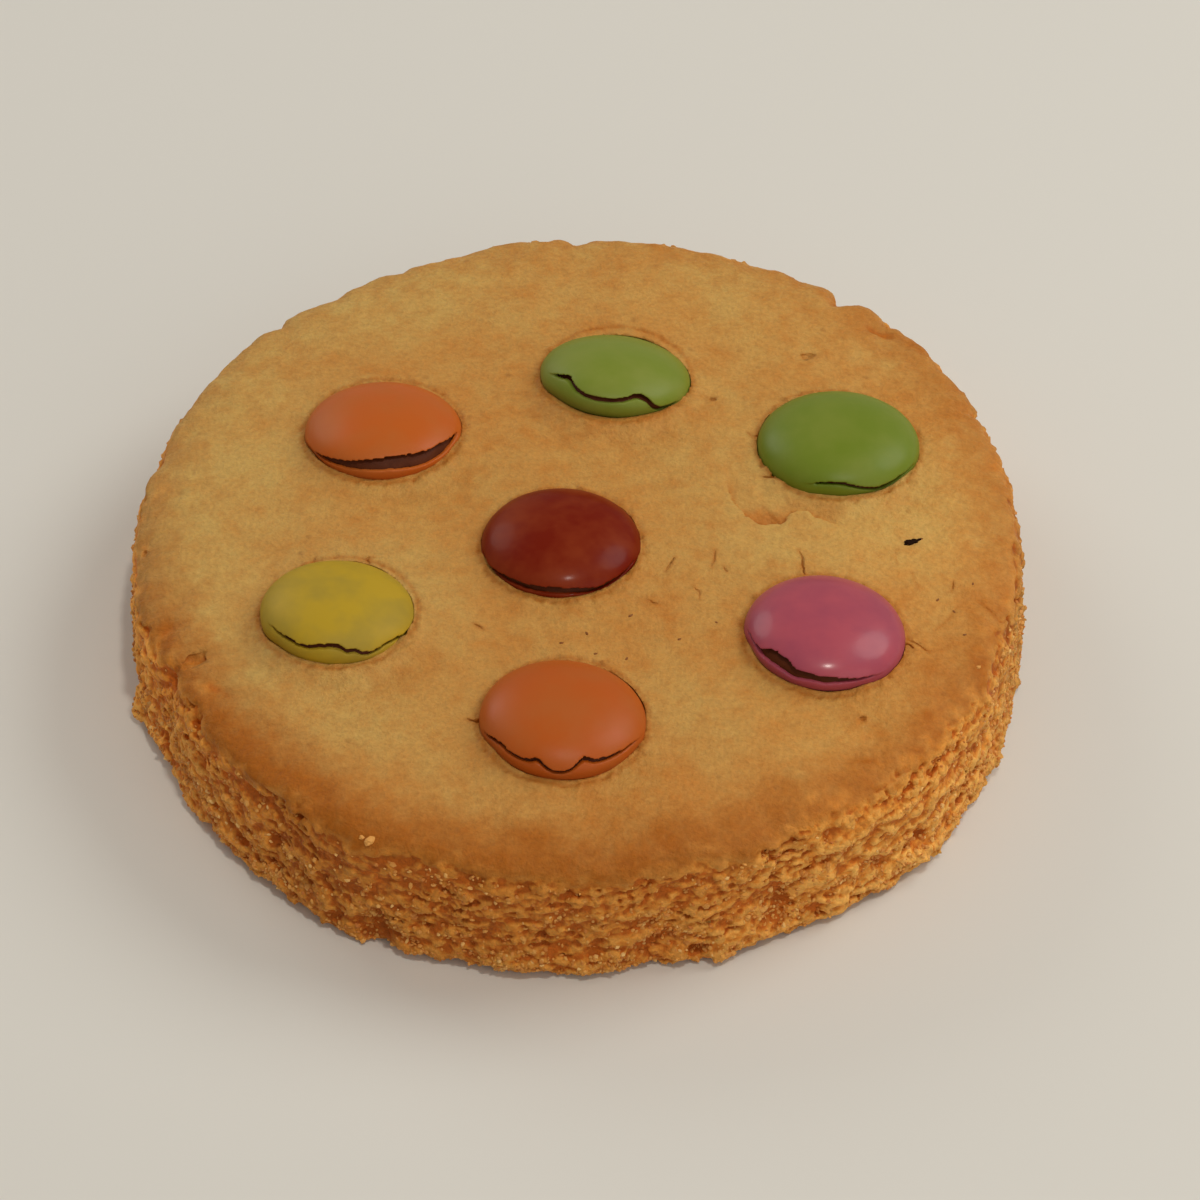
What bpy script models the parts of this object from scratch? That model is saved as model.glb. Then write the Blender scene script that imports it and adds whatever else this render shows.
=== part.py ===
"""Round shortcrust biscuit with sugar shelled chocolate lentils baked into its top.

Lengths below are millimetres and angles are degrees. Angles on the plan are
counted anticlockwise from +X. +X is the biscuit's right, -Y is its front and the
underside rests on z = 0.
"""
from math import atan2, cos, degrees, exp, hypot, pi, radians, sin

import bmesh
import bpy
from mathutils import Matrix, Vector, noise

MM = 0.001

# Biscuit body
TURN_STEPS = 256
FACE_BUDGET = 5500
CENTRE_SHIFT = (0.13, 0.01)
CRUST_FOOT = 12.7
CRUST_BLEND = 1.3
FOOT_RADIUS = 40.4
PROFILE = (
    (0.0, 14.90), (6.0, 14.88), (12.0, 14.82), (17.0, 14.72), (22.0, 14.60),
    (27.0, 14.48), (31.0, 14.38), (34.5, 14.26), (37.2, 14.12), (39.3, 13.90),
    (40.9, 13.55), (41.9, 13.00), (42.4, 12.30), (42.60, 11.40), (42.65, 10.50),
    (42.65, 9.50), (42.65, 8.50), (42.70, 7.50), (42.75, 6.50), (42.85, 5.50),
    (42.95, 4.50), (43.05, 3.50), (43.20, 2.50), (43.30, 1.60), (43.20, 0.80),
    (42.60, 0.25), (FOOT_RADIUS, 0.0), (0.0, 0.0),
)

# Outline of the plan: angle, offset of the edge from a true circle
OUTLINE = (
    (0, -0.7), (15, -0.6), (30, 0.1), (38, 0.7), (47, 0.9), (60, 0.4), (75, 0.5),
    (90, 0.4), (100, 0.3), (111, -0.5), (119, -0.2), (126, -0.5), (135, 0.0),
    (150, -0.2), (165, -0.5), (172, -0.3), (187, -0.4), (196, -0.2), (208, -0.6),
    (218, -0.2), (230, 0.1), (243, 1.1), (252, 0.5), (262, 0.6), (272, 0.3),
    (280, -0.3), (287, 0.2), (294, -0.1), (303, 0.4), (316, 0.8), (328, 0.2),
    (340, -0.6), (350, -0.8), (360, -0.7),
)

# Notches across the edge: angle, half width in degrees, depth, lowest and highest z
NOTCHES = (
    (90.5, 1.4, 1.0, 8.0, 16.0),
    (51.3, 1.6, 1.5, 7.5, 16.0),
    (43.8, 1.3, 0.8, 9.0, 16.0),
    (22.9, 1.3, 0.6, 9.0, 16.0),
    (126.3, 1.6, 0.4, 8.0, 16.0),
    (136.0, 1.2, 0.5, 10.0, 16.0),
    (116.0, 1.4, 0.4, 10.0, 16.0),
    (166.6, 2.6, 0.6, 6.5, 16.0),
    (246.5, 1.4, 0.5, -1.0, 5.0),
    (278.5, 2.2, 0.6, -1.0, 3.5),
    (299.0, 1.8, 0.5, -1.0, 3.0),
)

# Hollows and lumps of the crumbly wall: angle, z, half width, half height, depth
WALL_FEATURES = (
    (229.5, 10.8, 3.6, 0.7, 0.9),
    (231.0, 6.6, 0.9, 0.8, 0.8),
    (225.0, 3.5, 0.8, 0.7, 0.7),
    (245.7, 2.7, 1.6, 2.0, 0.9),
    (240.6, 2.3, 0.9, 0.8, 0.6),
    (330.8, 7.2, 1.5, 0.8, 0.7),
    (318.9, 11.5, 1.8, 0.6, 0.7),
    (315.1, 4.4, 1.1, 1.0, 1.2),
    (314.8, 2.4, 1.0, 0.8, -0.7),
    (284.2, 1.7, 0.9, 0.8, 1.4),
    (286.8, 0.6, 1.3, 0.7, -0.6),
    (294.5, 4.2, 1.6, 2.0, 0.7),
    (209.5, 12.2, 1.8, 1.2, 1.4),
    (213.5, 12.8, 1.2, 0.8, 0.6),
    (193.0, 4.5, 1.4, 2.2, 1.2),
    (196.5, 1.2, 0.8, 0.7, -0.7),
    (342.5, 8.0, 0.9, 0.6, -0.6),
    (333.5, 2.0, 0.7, 0.5, -0.6),
)

# Hollows of the top crust: x, y, half length, half width, turn, depth
TOP_FEATURES = (
    (17.6, 0.9, 3.2, 1.2, -22.0, 0.55),
    (18.0, 0.9, 1.2, 1.0, 0.0, 0.60),
    (22.2, -0.2, 2.4, 0.9, -10.0, 0.35),
    (13.8, 2.6, 1.0, 1.6, 20.0, 0.35),
    (25.4, -24.7, 0.8, 0.7, 0.0, 0.50),
    (30.8, -23.9, 1.0, 0.8, 0.0, 0.45),
    (22.6, 23.3, 0.9, 0.7, 0.0, 0.45),
    (29.3, 27.1, 1.5, 0.8, -50.0, 0.60),
    (-37.2, -17.0, 1.6, 0.9, 35.0, 0.60),
)

# Lentil sweets: sugar shell over a chocolate core
TURNS_OUTER = 28
TURNS_INNER = 16
ROWS_OUTER = 8
ROWS_INNER = 6
HALF_THICKNESS = 3.1
SHELL_THICKNESS = 0.6
CORE_GAP = 0.32
SOCKET_GAP = 0.33
SIDE_POWER = 0.9
WEDGE_OUT = 0.6
WEDGE_IN = -1.3

# Place of each sweet: x, y, z of its middle, lean towards +X and +Y, radius
SWEETS = {
    "orange_back": (-18.8, 11.7, 14.55, 0.5, 9.5, 7.7),
    "green_back": (3.5, 19.5, 14.60, 5.5, 18.0, 7.5),
    "green_right": (24.8, 9.9, 14.55, 0.0, 6.5, 7.9),
    "red_centre": (-1.6, -4.0, 14.80, 1.0, 3.5, 7.6),
    "yellow_left": (-21.9, -12.6, 14.50, 4.5, 8.5, 7.3),
    "pink_right": (22.4, -15.1, 14.55, 3.0, 5.0, 7.5),
    "orange_front": (-1.3, -25.8, 14.50, 3.5, 5.5, 7.6),
}

# Crack of each shell: angle, height of the upper lip, opening
CRACKS = {
    "orange_back": (
        (-165, 0.20, 0.10), (-149, 0.40, 0.30), (-128, 0.80, 0.60), (-102, 1.30, 0.85),
        (-83, 1.55, 1.00), (-57, 1.45, 1.05), (-33, 1.30, 0.90), (-8, 0.90, 0.20),
    ),
    "green_back": (
        (-158, 1.10, 0.12), (-142, 1.65, 0.35), (-128, 1.30, 0.40), (-113, 0.95, 0.38),
        (-91, 1.00, 0.38), (-76, 1.35, 0.38), (-66, 1.15, 0.42), (-58, 0.35, 0.42),
        (-50, 0.10, 0.40), (-36, 0.05, 0.12),
    ),
    "green_right": (
        (-114, 0.70, 0.10), (-100, 1.05, 0.30), (-88, 1.00, 0.30), (-77, 0.65, 0.32),
        (-64, 0.30, 0.38), (-50, 0.35, 0.45), (-34, 0.25, 0.12),
    ),
    "red_centre": (
        (-167, 0.50, 0.10), (-158, 0.25, 0.32), (-145, 0.55, 0.45), (-113, 0.90, 0.52),
        (-99, 1.00, 0.58), (-80, 0.95, 0.58), (-63, 0.70, 0.50), (-37, 0.70, 0.36),
        (-18, 0.70, 0.10),
    ),
    "yellow_left": (
        (-152, 0.95, 0.10), (-134, 1.00, 0.32), (-118, 1.00, 0.34), (-105, 1.30, 0.38),
        (-92, 1.50, 0.38), (-80, 1.10, 0.36), (-72, 1.10, 0.36), (-62, 0.75, 0.36),
        (-47, 1.00, 0.32), (-30, 0.75, 0.30), (-5, 0.55, 0.10),
    ),
    "pink_right": (
        (-175, 0.80, 0.10), (-155, 0.90, 0.38), (-147, 1.10, 0.70), (-139, 1.50, 1.00),
        (-125, 1.45, 1.05), (-117, 1.10, 0.90), (-105, 1.00, 0.65), (-92, 0.95, 0.68),
        (-80, 0.85, 0.50), (-66, 0.65, 0.32), (-50, 0.45, 0.10),
    ),
    "orange_front": (
        (-162, 0.45, 0.10), (-152, 0.85, 0.32), (-129, 0.95, 0.36), (-117, 1.00, 0.36),
        (-108, 1.25, 0.36), (-96, 0.65, 0.36), (-90, 0.65, 0.36), (-82, 1.00, 0.36),
        (-73, 1.50, 0.36), (-64, 1.25, 0.36), (-45, 1.10, 0.36), (-20, 0.80, 0.10),
    ),
}

# Colours: base colour, roughness
FINISHES = {
    "baked_crust": ((0.47, 0.24, 0.065), 0.75),
    "orange_sugar": ((0.46, 0.105, 0.018), 0.35),
    "green_sugar": ((0.17, 0.21, 0.028), 0.35),
    "red_sugar": ((0.16, 0.018, 0.008), 0.35),
    "yellow_sugar": ((0.42, 0.26, 0.024), 0.40),
    "pink_sugar": ((0.38, 0.075, 0.10), 0.35),
    "dark_chocolate": ((0.055, 0.022, 0.010), 0.50),
}


def blend(low, high, value):
    """Return 0 below low, 1 above high and a smooth rise between."""
    share = min(1.0, max(0.0, (value - low) / (high - low)))
    return share * share * (3.0 - 2.0 * share)


def outline_offset(angle):
    """Return the edge's offset from a true circle at a plan angle."""
    for (left, first), (right, second) in zip(OUTLINE, OUTLINE[1:]):
        if left <= angle <= right:
            share = blend(left, right, angle)
            return first + (second - first) * share
    return OUTLINE[0][1]


def turned_from(first, second):
    """Return the signed difference between two plan angles."""
    return (first - second + 180.0) % 360.0 - 180.0


def notch_depth(angle, height):
    """Return how far the notches cut into the edge at a place on the wall."""
    depth = 0.0
    for middle, width, deep, low, high in NOTCHES:
        across = turned_from(angle, middle) / width
        window = blend(low - 0.5, low + 2.0, height) * (1.0 - blend(high, high + 1.0, height))
        depth += deep * exp(-across * across) * window
    return depth


def feature_depth(angle, height):
    """Return how far the named hollows and lumps move the wall inward."""
    depth = 0.0
    for middle, level, width, tall, deep in WALL_FEATURES:
        across = radians(turned_from(angle, middle)) * 42.5 / width
        rise = (height - level) / tall
        depth += deep * exp(-across * across - rise * rise)
    return depth


def top_depth(x, y):
    """Return how far the named hollows lower the top crust."""
    depth = 0.0
    for middle_x, middle_y, length, width, turn, deep in TOP_FEATURES:
        along = (x - middle_x) * cos(radians(turn)) + (y - middle_y) * sin(radians(turn))
        aside = (y - middle_y) * cos(radians(turn)) - (x - middle_x) * sin(radians(turn))
        depth += deep * exp(-(along / length) ** 2 - (aside / width) ** 2)
    return depth


def crag(x, y, z):
    """Return the layered roughness of the broken wall."""
    coarse = noise.noise(Vector((x * 0.22, y * 0.22, z * 0.45)))
    middle = noise.noise(Vector((x * 0.50 + 7.0, y * 0.50, z * 0.85)))
    fine = noise.noise(Vector((x * 1.00, y * 1.00 + 3.0, z * 1.50)))
    return 0.50 * coarse + 0.50 * middle + 0.32 * fine


def shaped(point):
    """Move a point of the turned blank onto the real biscuit's surface."""
    x, y, z = point
    radius = hypot(x, y)
    angle = degrees(atan2(y, x)) % 360.0
    edge = blend(20.0, 41.0, radius)
    wall = 1.0 - blend(CRUST_FOOT - CRUST_BLEND, CRUST_FOOT, z)
    wall *= blend(40.5, 42.0, radius)
    grown = radius + outline_offset(angle) * edge * radius / 42.4
    grown -= notch_depth(angle, z) * blend(38.0, 41.5, radius)
    grown -= feature_depth(angle, z) * blend(38.5, 41.0, radius)
    grown += crag(x, y, z) * wall
    if z > 7.0:
        ripple = noise.noise(Vector((x * 0.12, y * 0.12, 5.0)))
        ripple += 0.4 * noise.noise(Vector((x * 0.33, y * 0.33, 9.0)))
        z += (0.28 * ripple - top_depth(x, y)) * blend(12.0, 13.6, z)
    if z < 2.0 and radius > FOOT_RADIUS + 0.5:
        lift = 0.12 + 0.35 * noise.noise(Vector((x * 0.25, y * 0.25, 2.0)))
        z += max(0.0, lift) * (1.0 - blend(0.5, 2.0, z))
    scale = grown / radius if radius > 0.01 else 1.0
    return Vector((x * scale, y * scale, z))


def material(name):
    """Return one plain Principled material made from the colour table."""
    colour, roughness = FINISHES[name]
    made = bpy.data.materials.new(name)
    made.use_nodes = True
    shader = made.node_tree.nodes["Principled BSDF"]
    shader.inputs["Base Color"].default_value = (*colour, 1.0)
    shader.inputs["Roughness"].default_value = roughness
    shader.inputs["Metallic"].default_value = 0.0
    made.diffuse_color = (*colour, 1.0)
    return made


def linked(name, mesh, collection):
    """Wrap a mesh in an object of one collection."""
    made = bpy.data.objects.new(name, mesh)
    collection.objects.link(made)
    return made


def applied(made, kind):
    """Apply the object's newest modifier, checked by its kind."""
    newest = made.modifiers[-1]
    assert newest.type == kind
    bpy.context.view_layer.objects.active = made
    bpy.ops.object.modifier_apply(modifier=newest.name)


def turned(name, profile, steps, collection):
    """Turn a profile, given as radius and height, round the Z axis."""
    mesh = bpy.data.meshes.new(name)
    points = [(radius * MM, 0.0, height * MM) for radius, height in profile]
    mesh.from_pydata(points, [(i, i + 1) for i in range(len(points) - 1)], [])
    made = linked(name, mesh, collection)
    screw = made.modifiers.new("turn", "SCREW")
    screw.axis = "Z"
    screw.angle = 2.0 * pi
    screw.steps = steps
    screw.render_steps = steps
    screw.use_merge_vertices = True
    screw.merge_threshold = 0.00001
    applied(made, "SCREW")
    return made


def lentil_profile(radius, half, rows):
    """Return the outer line of a lentil from its top pole to its bottom pole."""
    line = []
    for row in range(rows + 1):
        lean = pi * (0.5 - row / rows)
        reach = radius * max(0.0, cos(lean)) ** SIDE_POWER
        line.append((0.0 if row in (0, rows) else reach, half * sin(lean)))
    return line


def lentil_reach(radius, height):
    """Return the lentil's radius at a height above its widest level."""
    share = 1.0 - (height / HALF_THICKNESS) ** 2
    return radius * max(0.0, share) ** (SIDE_POWER / 2.0)


def placed(made, key):
    """Set a sweet's piece at its place in the biscuit with its lean."""
    x, y, z, lean_x, lean_y, _ = SWEETS[key]
    normal = Vector((sin(radians(lean_x)), sin(radians(lean_y)), 1.0))
    turn = Vector((0.0, 0.0, 1.0)).rotation_difference(normal)
    made.rotation_mode = "QUATERNION"
    made.rotation_quaternion = turn
    made.location = ((x + CENTRE_SHIFT[0]) * MM, (y + CENTRE_SHIFT[1]) * MM, z * MM)


def crack_cutter(key, radius, collection):
    """Build the thin wedge that opens a shell along its crack."""
    rings = []
    for angle, upper, opening in CRACKS[key]:
        lower = upper - opening
        ring = []
        corners = ((upper, WEDGE_OUT), (lower, WEDGE_OUT), (lower, WEDGE_IN), (upper, WEDGE_IN))
        for height, step in corners:
            reach = lentil_reach(radius, height) + step
            side = radians(angle)
            ring.append((reach * cos(side) * MM, reach * sin(side) * MM, height * MM))
        rings.append(ring)
    work = bmesh.new()
    rows = [[work.verts.new(point) for point in ring] for ring in rings]
    for first, second in zip(rows, rows[1:]):
        for i in range(4):
            j = (i + 1) % 4
            work.faces.new((first[i], second[i], second[j], first[j]))
    work.faces.new(rows[0])
    work.faces.new(list(reversed(rows[-1])))
    bmesh.ops.recalc_face_normals(work, faces=work.faces)
    mesh = bpy.data.meshes.new("crack_wedge_" + key)
    work.to_mesh(mesh)
    work.free()
    return linked("crack_wedge_" + key, mesh, collection)


def cut(body, tool):
    """Subtract one hidden tool from a body."""
    tool.hide_render = True
    tool.display_type = "WIRE"
    step = body.modifiers.new("cut_" + tool.name, "BOOLEAN")
    step.operation = "DIFFERENCE"
    step.solver = "EXACT"
    step.object = tool


def build_biscuit(collection, cutters):
    """Build the baked body with its broken wall and the sockets of the sweets."""
    body = turned("biscuit", PROFILE, TURN_STEPS, collection)
    for vertex in body.data.vertices:
        moved = shaped(vertex.co / MM)
        moved.x += CENTRE_SHIFT[0]
        moved.y += CENTRE_SHIFT[1]
        vertex.co = moved * MM
    body.data.update()
    triangles = sum(len(face.vertices) - 2 for face in body.data.polygons)
    thin = body.modifiers.new("fewer_faces", "DECIMATE")
    thin.decimate_type = "COLLAPSE"
    thin.ratio = FACE_BUDGET / triangles
    applied(body, "DECIMATE")
    for vertex in body.data.vertices:
        if vertex.co.z < 0.04 * MM:
            vertex.co.z = 0.0
    body.data.update()
    for key, place in SWEETS.items():
        line = lentil_profile(place[5] + SOCKET_GAP, HALF_THICKNESS + SOCKET_GAP, ROWS_OUTER)
        tool = turned("socket_" + key, line, TURNS_OUTER, cutters)
        placed(tool, key)
        cut(body, tool)
    body.data.materials.append(material("baked_crust"))
    return body


def build_shell(key, collection, cutters, finish):
    """Build one hollow sugar shell with its crack."""
    radius = SWEETS[key][5]
    outer_line = lentil_profile(radius, HALF_THICKNESS, ROWS_OUTER)
    shell = turned("sweet_" + key + "_shell", outer_line, TURNS_OUTER, collection)
    inner_line = lentil_profile(radius - SHELL_THICKNESS, HALF_THICKNESS - SHELL_THICKNESS, ROWS_INNER)
    hollow = turned("hollow_" + key, inner_line, TURNS_INNER, cutters)
    wedge = crack_cutter(key, radius, cutters)
    for piece in (shell, hollow, wedge):
        placed(piece, key)
    cut(shell, hollow)
    cut(shell, wedge)
    shell.data.materials.append(finish)
    return shell


def build_core(key, collection, finish):
    """Build the chocolate inside one shell."""
    inset = SHELL_THICKNESS + CORE_GAP
    radius = SWEETS[key][5] - inset
    line = lentil_profile(radius, HALF_THICKNESS - inset, ROWS_INNER)
    core = turned("sweet_" + key + "_chocolate", line, TURNS_INNER, collection)
    placed(core, key)
    core.data.materials.append(finish)
    return core


def main():
    """Build every node."""
    for item in list(bpy.data.objects):
        bpy.data.objects.remove(item, do_unlink=True)
    scene = bpy.context.scene
    collection = bpy.data.collections.new("lentil_biscuit")
    scene.collection.children.link(collection)
    cutters = bpy.data.collections.new("cutters")
    scene.collection.children.link(cutters)
    build_biscuit(collection, cutters)
    chocolate = material("dark_chocolate")
    colours = ("orange", "green", "red", "yellow", "pink")
    sugar = {colour: material(colour + "_sugar") for colour in colours}
    for key in SWEETS:
        build_shell(key, collection, cutters, sugar[key.split("_")[0]])
        build_core(key, collection, chocolate)


main()
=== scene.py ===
"""Looks of a round shortcrust biscuit with sugar shelled chocolate lentils in its top.

Lengths in this script are millimetres and angles are degrees, unless a name says
otherwise. They become metres and radians where Blender takes them. Plan angles are
counted anticlockwise from +X. The front of the biscuit is -Y.
"""

import logging
from dataclasses import dataclass, field
from enum import Enum
from math import cos, pi, radians, sin

import bmesh
import bpy
import numpy as np
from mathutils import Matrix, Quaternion, Vector, noise


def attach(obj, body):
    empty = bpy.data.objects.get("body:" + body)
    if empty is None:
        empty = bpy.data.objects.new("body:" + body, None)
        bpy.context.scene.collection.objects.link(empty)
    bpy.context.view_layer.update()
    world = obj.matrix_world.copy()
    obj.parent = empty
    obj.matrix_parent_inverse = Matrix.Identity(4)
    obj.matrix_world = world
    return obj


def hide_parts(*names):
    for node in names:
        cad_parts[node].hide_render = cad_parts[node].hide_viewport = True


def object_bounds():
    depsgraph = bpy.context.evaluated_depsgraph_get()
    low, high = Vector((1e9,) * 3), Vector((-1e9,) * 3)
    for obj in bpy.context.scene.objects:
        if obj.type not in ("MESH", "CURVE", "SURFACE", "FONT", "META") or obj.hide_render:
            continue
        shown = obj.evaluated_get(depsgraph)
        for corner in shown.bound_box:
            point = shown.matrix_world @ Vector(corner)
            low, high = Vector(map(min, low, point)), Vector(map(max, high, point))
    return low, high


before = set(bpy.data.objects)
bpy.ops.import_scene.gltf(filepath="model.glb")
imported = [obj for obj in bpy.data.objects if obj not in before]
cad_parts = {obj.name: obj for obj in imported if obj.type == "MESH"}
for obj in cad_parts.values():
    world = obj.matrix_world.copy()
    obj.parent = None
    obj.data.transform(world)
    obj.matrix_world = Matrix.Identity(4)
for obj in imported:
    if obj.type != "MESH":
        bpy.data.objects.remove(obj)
CAD_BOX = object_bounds()

LOG = logging.getLogger("lentil_biscuit")

MM = 0.001
BODY = "root"

# Biscuit body, as in the construction
CENTRE_SHIFT = (0.13, 0.01)
CRUST_FOOT = 13.1
CRUST_BLEND = 1.3
FOOT_RADIUS = 40.4
EDGE_RADIUS = 42.4
PROFILE = (
    (FOOT_RADIUS, 0.0), (42.60, 0.25), (43.20, 0.80), (43.30, 1.60), (43.20, 2.50),
    (43.05, 3.50), (42.95, 4.50), (42.85, 5.50), (42.75, 6.50), (42.70, 7.50),
    (42.65, 8.50), (42.65, 9.50), (42.65, 10.50), (42.60, 11.40), (42.40, 12.30),
    (41.90, 13.00), (40.90, 13.55), (39.30, 13.90), (37.20, 14.12), (34.50, 14.26),
    (31.00, 14.38), (27.00, 14.48), (22.00, 14.60), (17.00, 14.72), (12.00, 14.82),
    (6.00, 14.88), (2.00, 14.90),
)

# Number of profile points on the side. The rest are on the crust.
CRUST_START = 15

# Outline of the plan: angle, offset of the edge from a true circle
OUTLINE = (
    (0, -0.7), (15, -0.6), (30, 0.1), (38, 0.7), (47, 0.9), (60, 0.4), (75, 0.5),
    (90, 0.4), (100, 0.3), (111, -0.5), (119, -0.2), (126, -0.5), (135, 0.0),
    (150, -0.2), (165, -0.5), (172, -0.3), (187, -0.4), (196, -0.2), (208, -0.6),
    (218, -0.2), (230, 0.1), (243, 1.1), (252, 0.5), (262, 0.6), (272, 0.3),
    (280, -0.3), (287, 0.2), (294, -0.1), (303, 0.4), (316, 0.8), (328, 0.2),
    (340, -0.6), (350, -0.8), (360, -0.7),
)

# Notches across the edge: angle, half width in degrees, depth, lowest and highest z
NOTCHES = (
    (90.5, 1.2, 1.2, 8.0, 16.0),
    (51.3, 1.4, 1.7, 7.5, 16.0),
    (43.8, 1.1, 0.9, 9.0, 16.0),
    (22.9, 1.1, 0.7, 9.0, 16.0),
    (126.3, 1.4, 0.5, 8.0, 16.0),
    (136.0, 1.0, 0.6, 10.0, 16.0),
    (116.0, 1.2, 0.5, 10.0, 16.0),
    (166.6, 2.4, 0.7, 6.5, 16.0),
    (246.5, 1.2, 0.6, -1.0, 5.0),
    (278.5, 2.0, 0.7, -1.0, 3.5),
    (299.0, 1.6, 0.6, -1.0, 3.0),
)

# Hollows and lumps of the crumbly wall: angle, z, half width, half height, depth
WALL_FEATURES = (
    (229.5, 10.8, 3.6, 0.6, 1.2),
    (231.0, 6.6, 0.8, 0.7, 1.2),
    (225.0, 3.5, 0.8, 0.6, 1.0),
    (245.7, 2.7, 1.5, 2.0, 1.1),
    (240.6, 2.3, 0.8, 0.7, 0.9),
    (330.8, 7.2, 1.5, 0.7, 0.9),
    (318.9, 11.5, 1.8, 0.5, 0.9),
    (315.1, 4.4, 1.0, 0.9, 1.6),
    (314.8, 2.4, 1.0, 0.8, -0.8),
    (284.2, 1.7, 0.8, 0.7, 1.8),
    (286.8, 0.8, 1.3, 0.7, -0.6),
    (294.5, 4.2, 1.5, 2.0, 0.9),
    (206.6, 12.0, 1.2, 1.0, 1.2),
    (214.5, 12.6, 1.1, 0.8, 0.7),
    (193.0, 4.5, 1.3, 2.2, 1.4),
    (196.5, 1.2, 0.8, 0.7, -0.7),
    (342.5, 8.0, 0.9, 0.6, -0.6),
    (333.5, 2.0, 0.7, 0.5, -0.6),
)

# Hollows of the top crust: x, y, half length, half width, turn, depth
TOP_FEATURES = (
    (17.5, 3.9, 0.34, 1.6, 3.0, 0.34),
    (29.3, 27.1, 1.5, 0.7, -50.0, 0.70),
    (-38.0, -14.0, 1.4, 1.0, 35.0, 0.40),
    (-34.7, -17.7, 1.6, 1.0, 30.0, 0.30),
    (-32.6, -21.5, 2.2, 0.5, -40.0, 0.25),
    (-36.5, -10.0, 1.6, 0.6, 60.0, 0.25),
    (-26.5, -27.0, 2.6, 0.8, -35.0, 0.18),
    (32.5, -22.5, 2.2, 0.7, 60.0, 0.22),
    (27.5, -30.5, 2.0, 0.6, 30.0, 0.20),
)

# Broken edge near the rear right sweet, the crust sunk on its left hand: x, y, drop
SCARP = (
    (13.8, 6.6, 0.05), (13.8, 5.0, 0.25), (13.9, 3.4, 0.42), (14.3, 2.0, 0.46), (14.9, 1.2, 0.50),
    (15.6, 0.1, 0.95), (16.4, -0.6, 1.30), (17.2, -1.1, 1.50), (18.2, -0.9, 1.45), (19.2, -0.6, 1.10),
    (19.8, 0.3, 0.60), (20.6, 0.9, 0.50), (21.7, 0.7, 0.66), (22.6, -0.2, 0.60), (23.6, -0.9, 0.36),
    (24.6, -1.2, 0.05),
)
SCARP_RUN = 1.7
SCARP_LIP = 0.12

# Crisp edged pits of the top crust: x, y, half length, half width, turn, depth
CRATERS = (
    (-37.3, -18.7, 1.15, 1.0, 35.0, 1.80), (-34.7, -17.7, 1.2, 0.7, 30.0, 0.50),
    (-40.6, -3.6, 0.5, 0.8, 10.0, 0.60), (22.4, 22.8, 0.7, 0.5, 0.0, 0.40),
    (25.4, -25.2, 0.34, 0.28, 0.0, 0.22),
    (12.9, 16.4, 0.35, 0.25, 0.0, 0.30), (-39.6, -13.4, 0.9, 0.5, 80.0, 0.70),
)

# Browned stains of the crust: x, y, half length, half width, turn, share of brown
STAINS = (
    (25.4, -25.2, 0.55, 0.45, 0.0, 0.6), (31.0, -24.8, 1.1, 0.7, 40.0, 0.5),
    (32.0, -27.4, 1.5, 0.6, 50.0, 0.8), (33.5, -25.6, 0.6, 0.4, 0.0, 0.6),
    (22.4, 22.8, 1.0, 0.7, 0.0, 0.5), (25.2, -30.0, 1.1, 0.35, -20.0, 0.6),
    (28.7, -32.2, 0.9, 0.4, -20.0, 0.5), (12.9, 16.4, 0.5, 0.4, 0.0, 0.5),
    (33.2, 25.2, 1.6, 0.9, -45.0, 0.4), (-38.0, -14.2, 1.7, 1.2, 30.0, 0.4),
    (18.0, -32.6, 1.6, 0.7, 10.0, 0.3), (-4.0, -38.6, 2.4, 1.2, 5.0, 0.3),
    (-24.0, -33.0, 2.0, 1.5, -30.0, 0.3), (8.0, -38.4, 1.8, 1.0, 0.0, 0.3),
    (31.6, -19.4, 1.3, 0.7, 60.0, 0.4), (36.4, -16.6, 1.3, 0.8, 80.0, 0.7),
    (37.2, -19.6, 1.0, 1.6, 20.0, 0.7), (34.6, -24.6, 1.8, 0.8, 50.0, 0.6),
    (30.2, -28.8, 1.4, 0.7, 40.0, 0.5),
)

# Share of gold in the pale top, and patches that change it: x, y, half sizes, added share
TOAST_BASE = 0.68
TOAST_PATCHES = (
    (-37.0, 4.0, 13.0, 27.0, -0.62), (-22.0, -24.0, 8.0, 7.0, -0.34), (20.0, 3.0, 9.0, 11.0, -0.45),
    (-20.0, 33.0, 12.0, 8.0, -0.50), (16.0, 31.0, 8.0, 7.0, -0.28), (12.0, -24.0, 9.0, 6.0, -0.22),
    (35.0, -16.0, 8.0, 12.0, 0.22), (14.0, -36.0, 18.0, 6.0, 0.25), (0.0, -12.0, 9.0, 5.0, 0.10),
    (-15.0, -8.0, 6.0, 6.0, -0.40), (30.0, 1.0, 8.0, 7.0, -0.35), (-16.0, -28.0, 8.0, 4.0, -0.22),
    (12.0, 2.0, 5.0, 6.0, -0.15), (0.0, 34.0, 14.0, 6.0, -0.12),
)

# Places where the crust is lighter or darker: x, y, half sizes, added share of light
LIGHT_PATCHES = (
    (33.0, -2.0, 12.0, 17.0, 0.13), (26.0, -28.0, 10.0, 8.0, 0.08), (16.0, 26.0, 16.0, 12.0, 0.04),
)

# Painted light and baked depth of the crumb round the side: plan angle, added share of painted light (the
# side drawn brighter or darker by angle, as the light falls on it), added share of depth
SIDE_PAINTED_LIGHT_AND_DEPTH = (
    (0, -0.30, 0.0), (30, 0.0, 0.0), (150, 0.0, 0.0), (180, 0.24, 0.0), (195, 0.46, 0.0), (215, 0.25, 0.20),
    (240, -0.05, 0.55), (262, -0.01, 0.42), (283, 0.02, 0.30), (300, 0.07, -0.25), (315, 0.03, -0.28),
    (330, -0.03, -0.30), (343, -0.24, -0.25), (352, -0.40, -0.1), (360, -0.30, 0.0),
)

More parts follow.
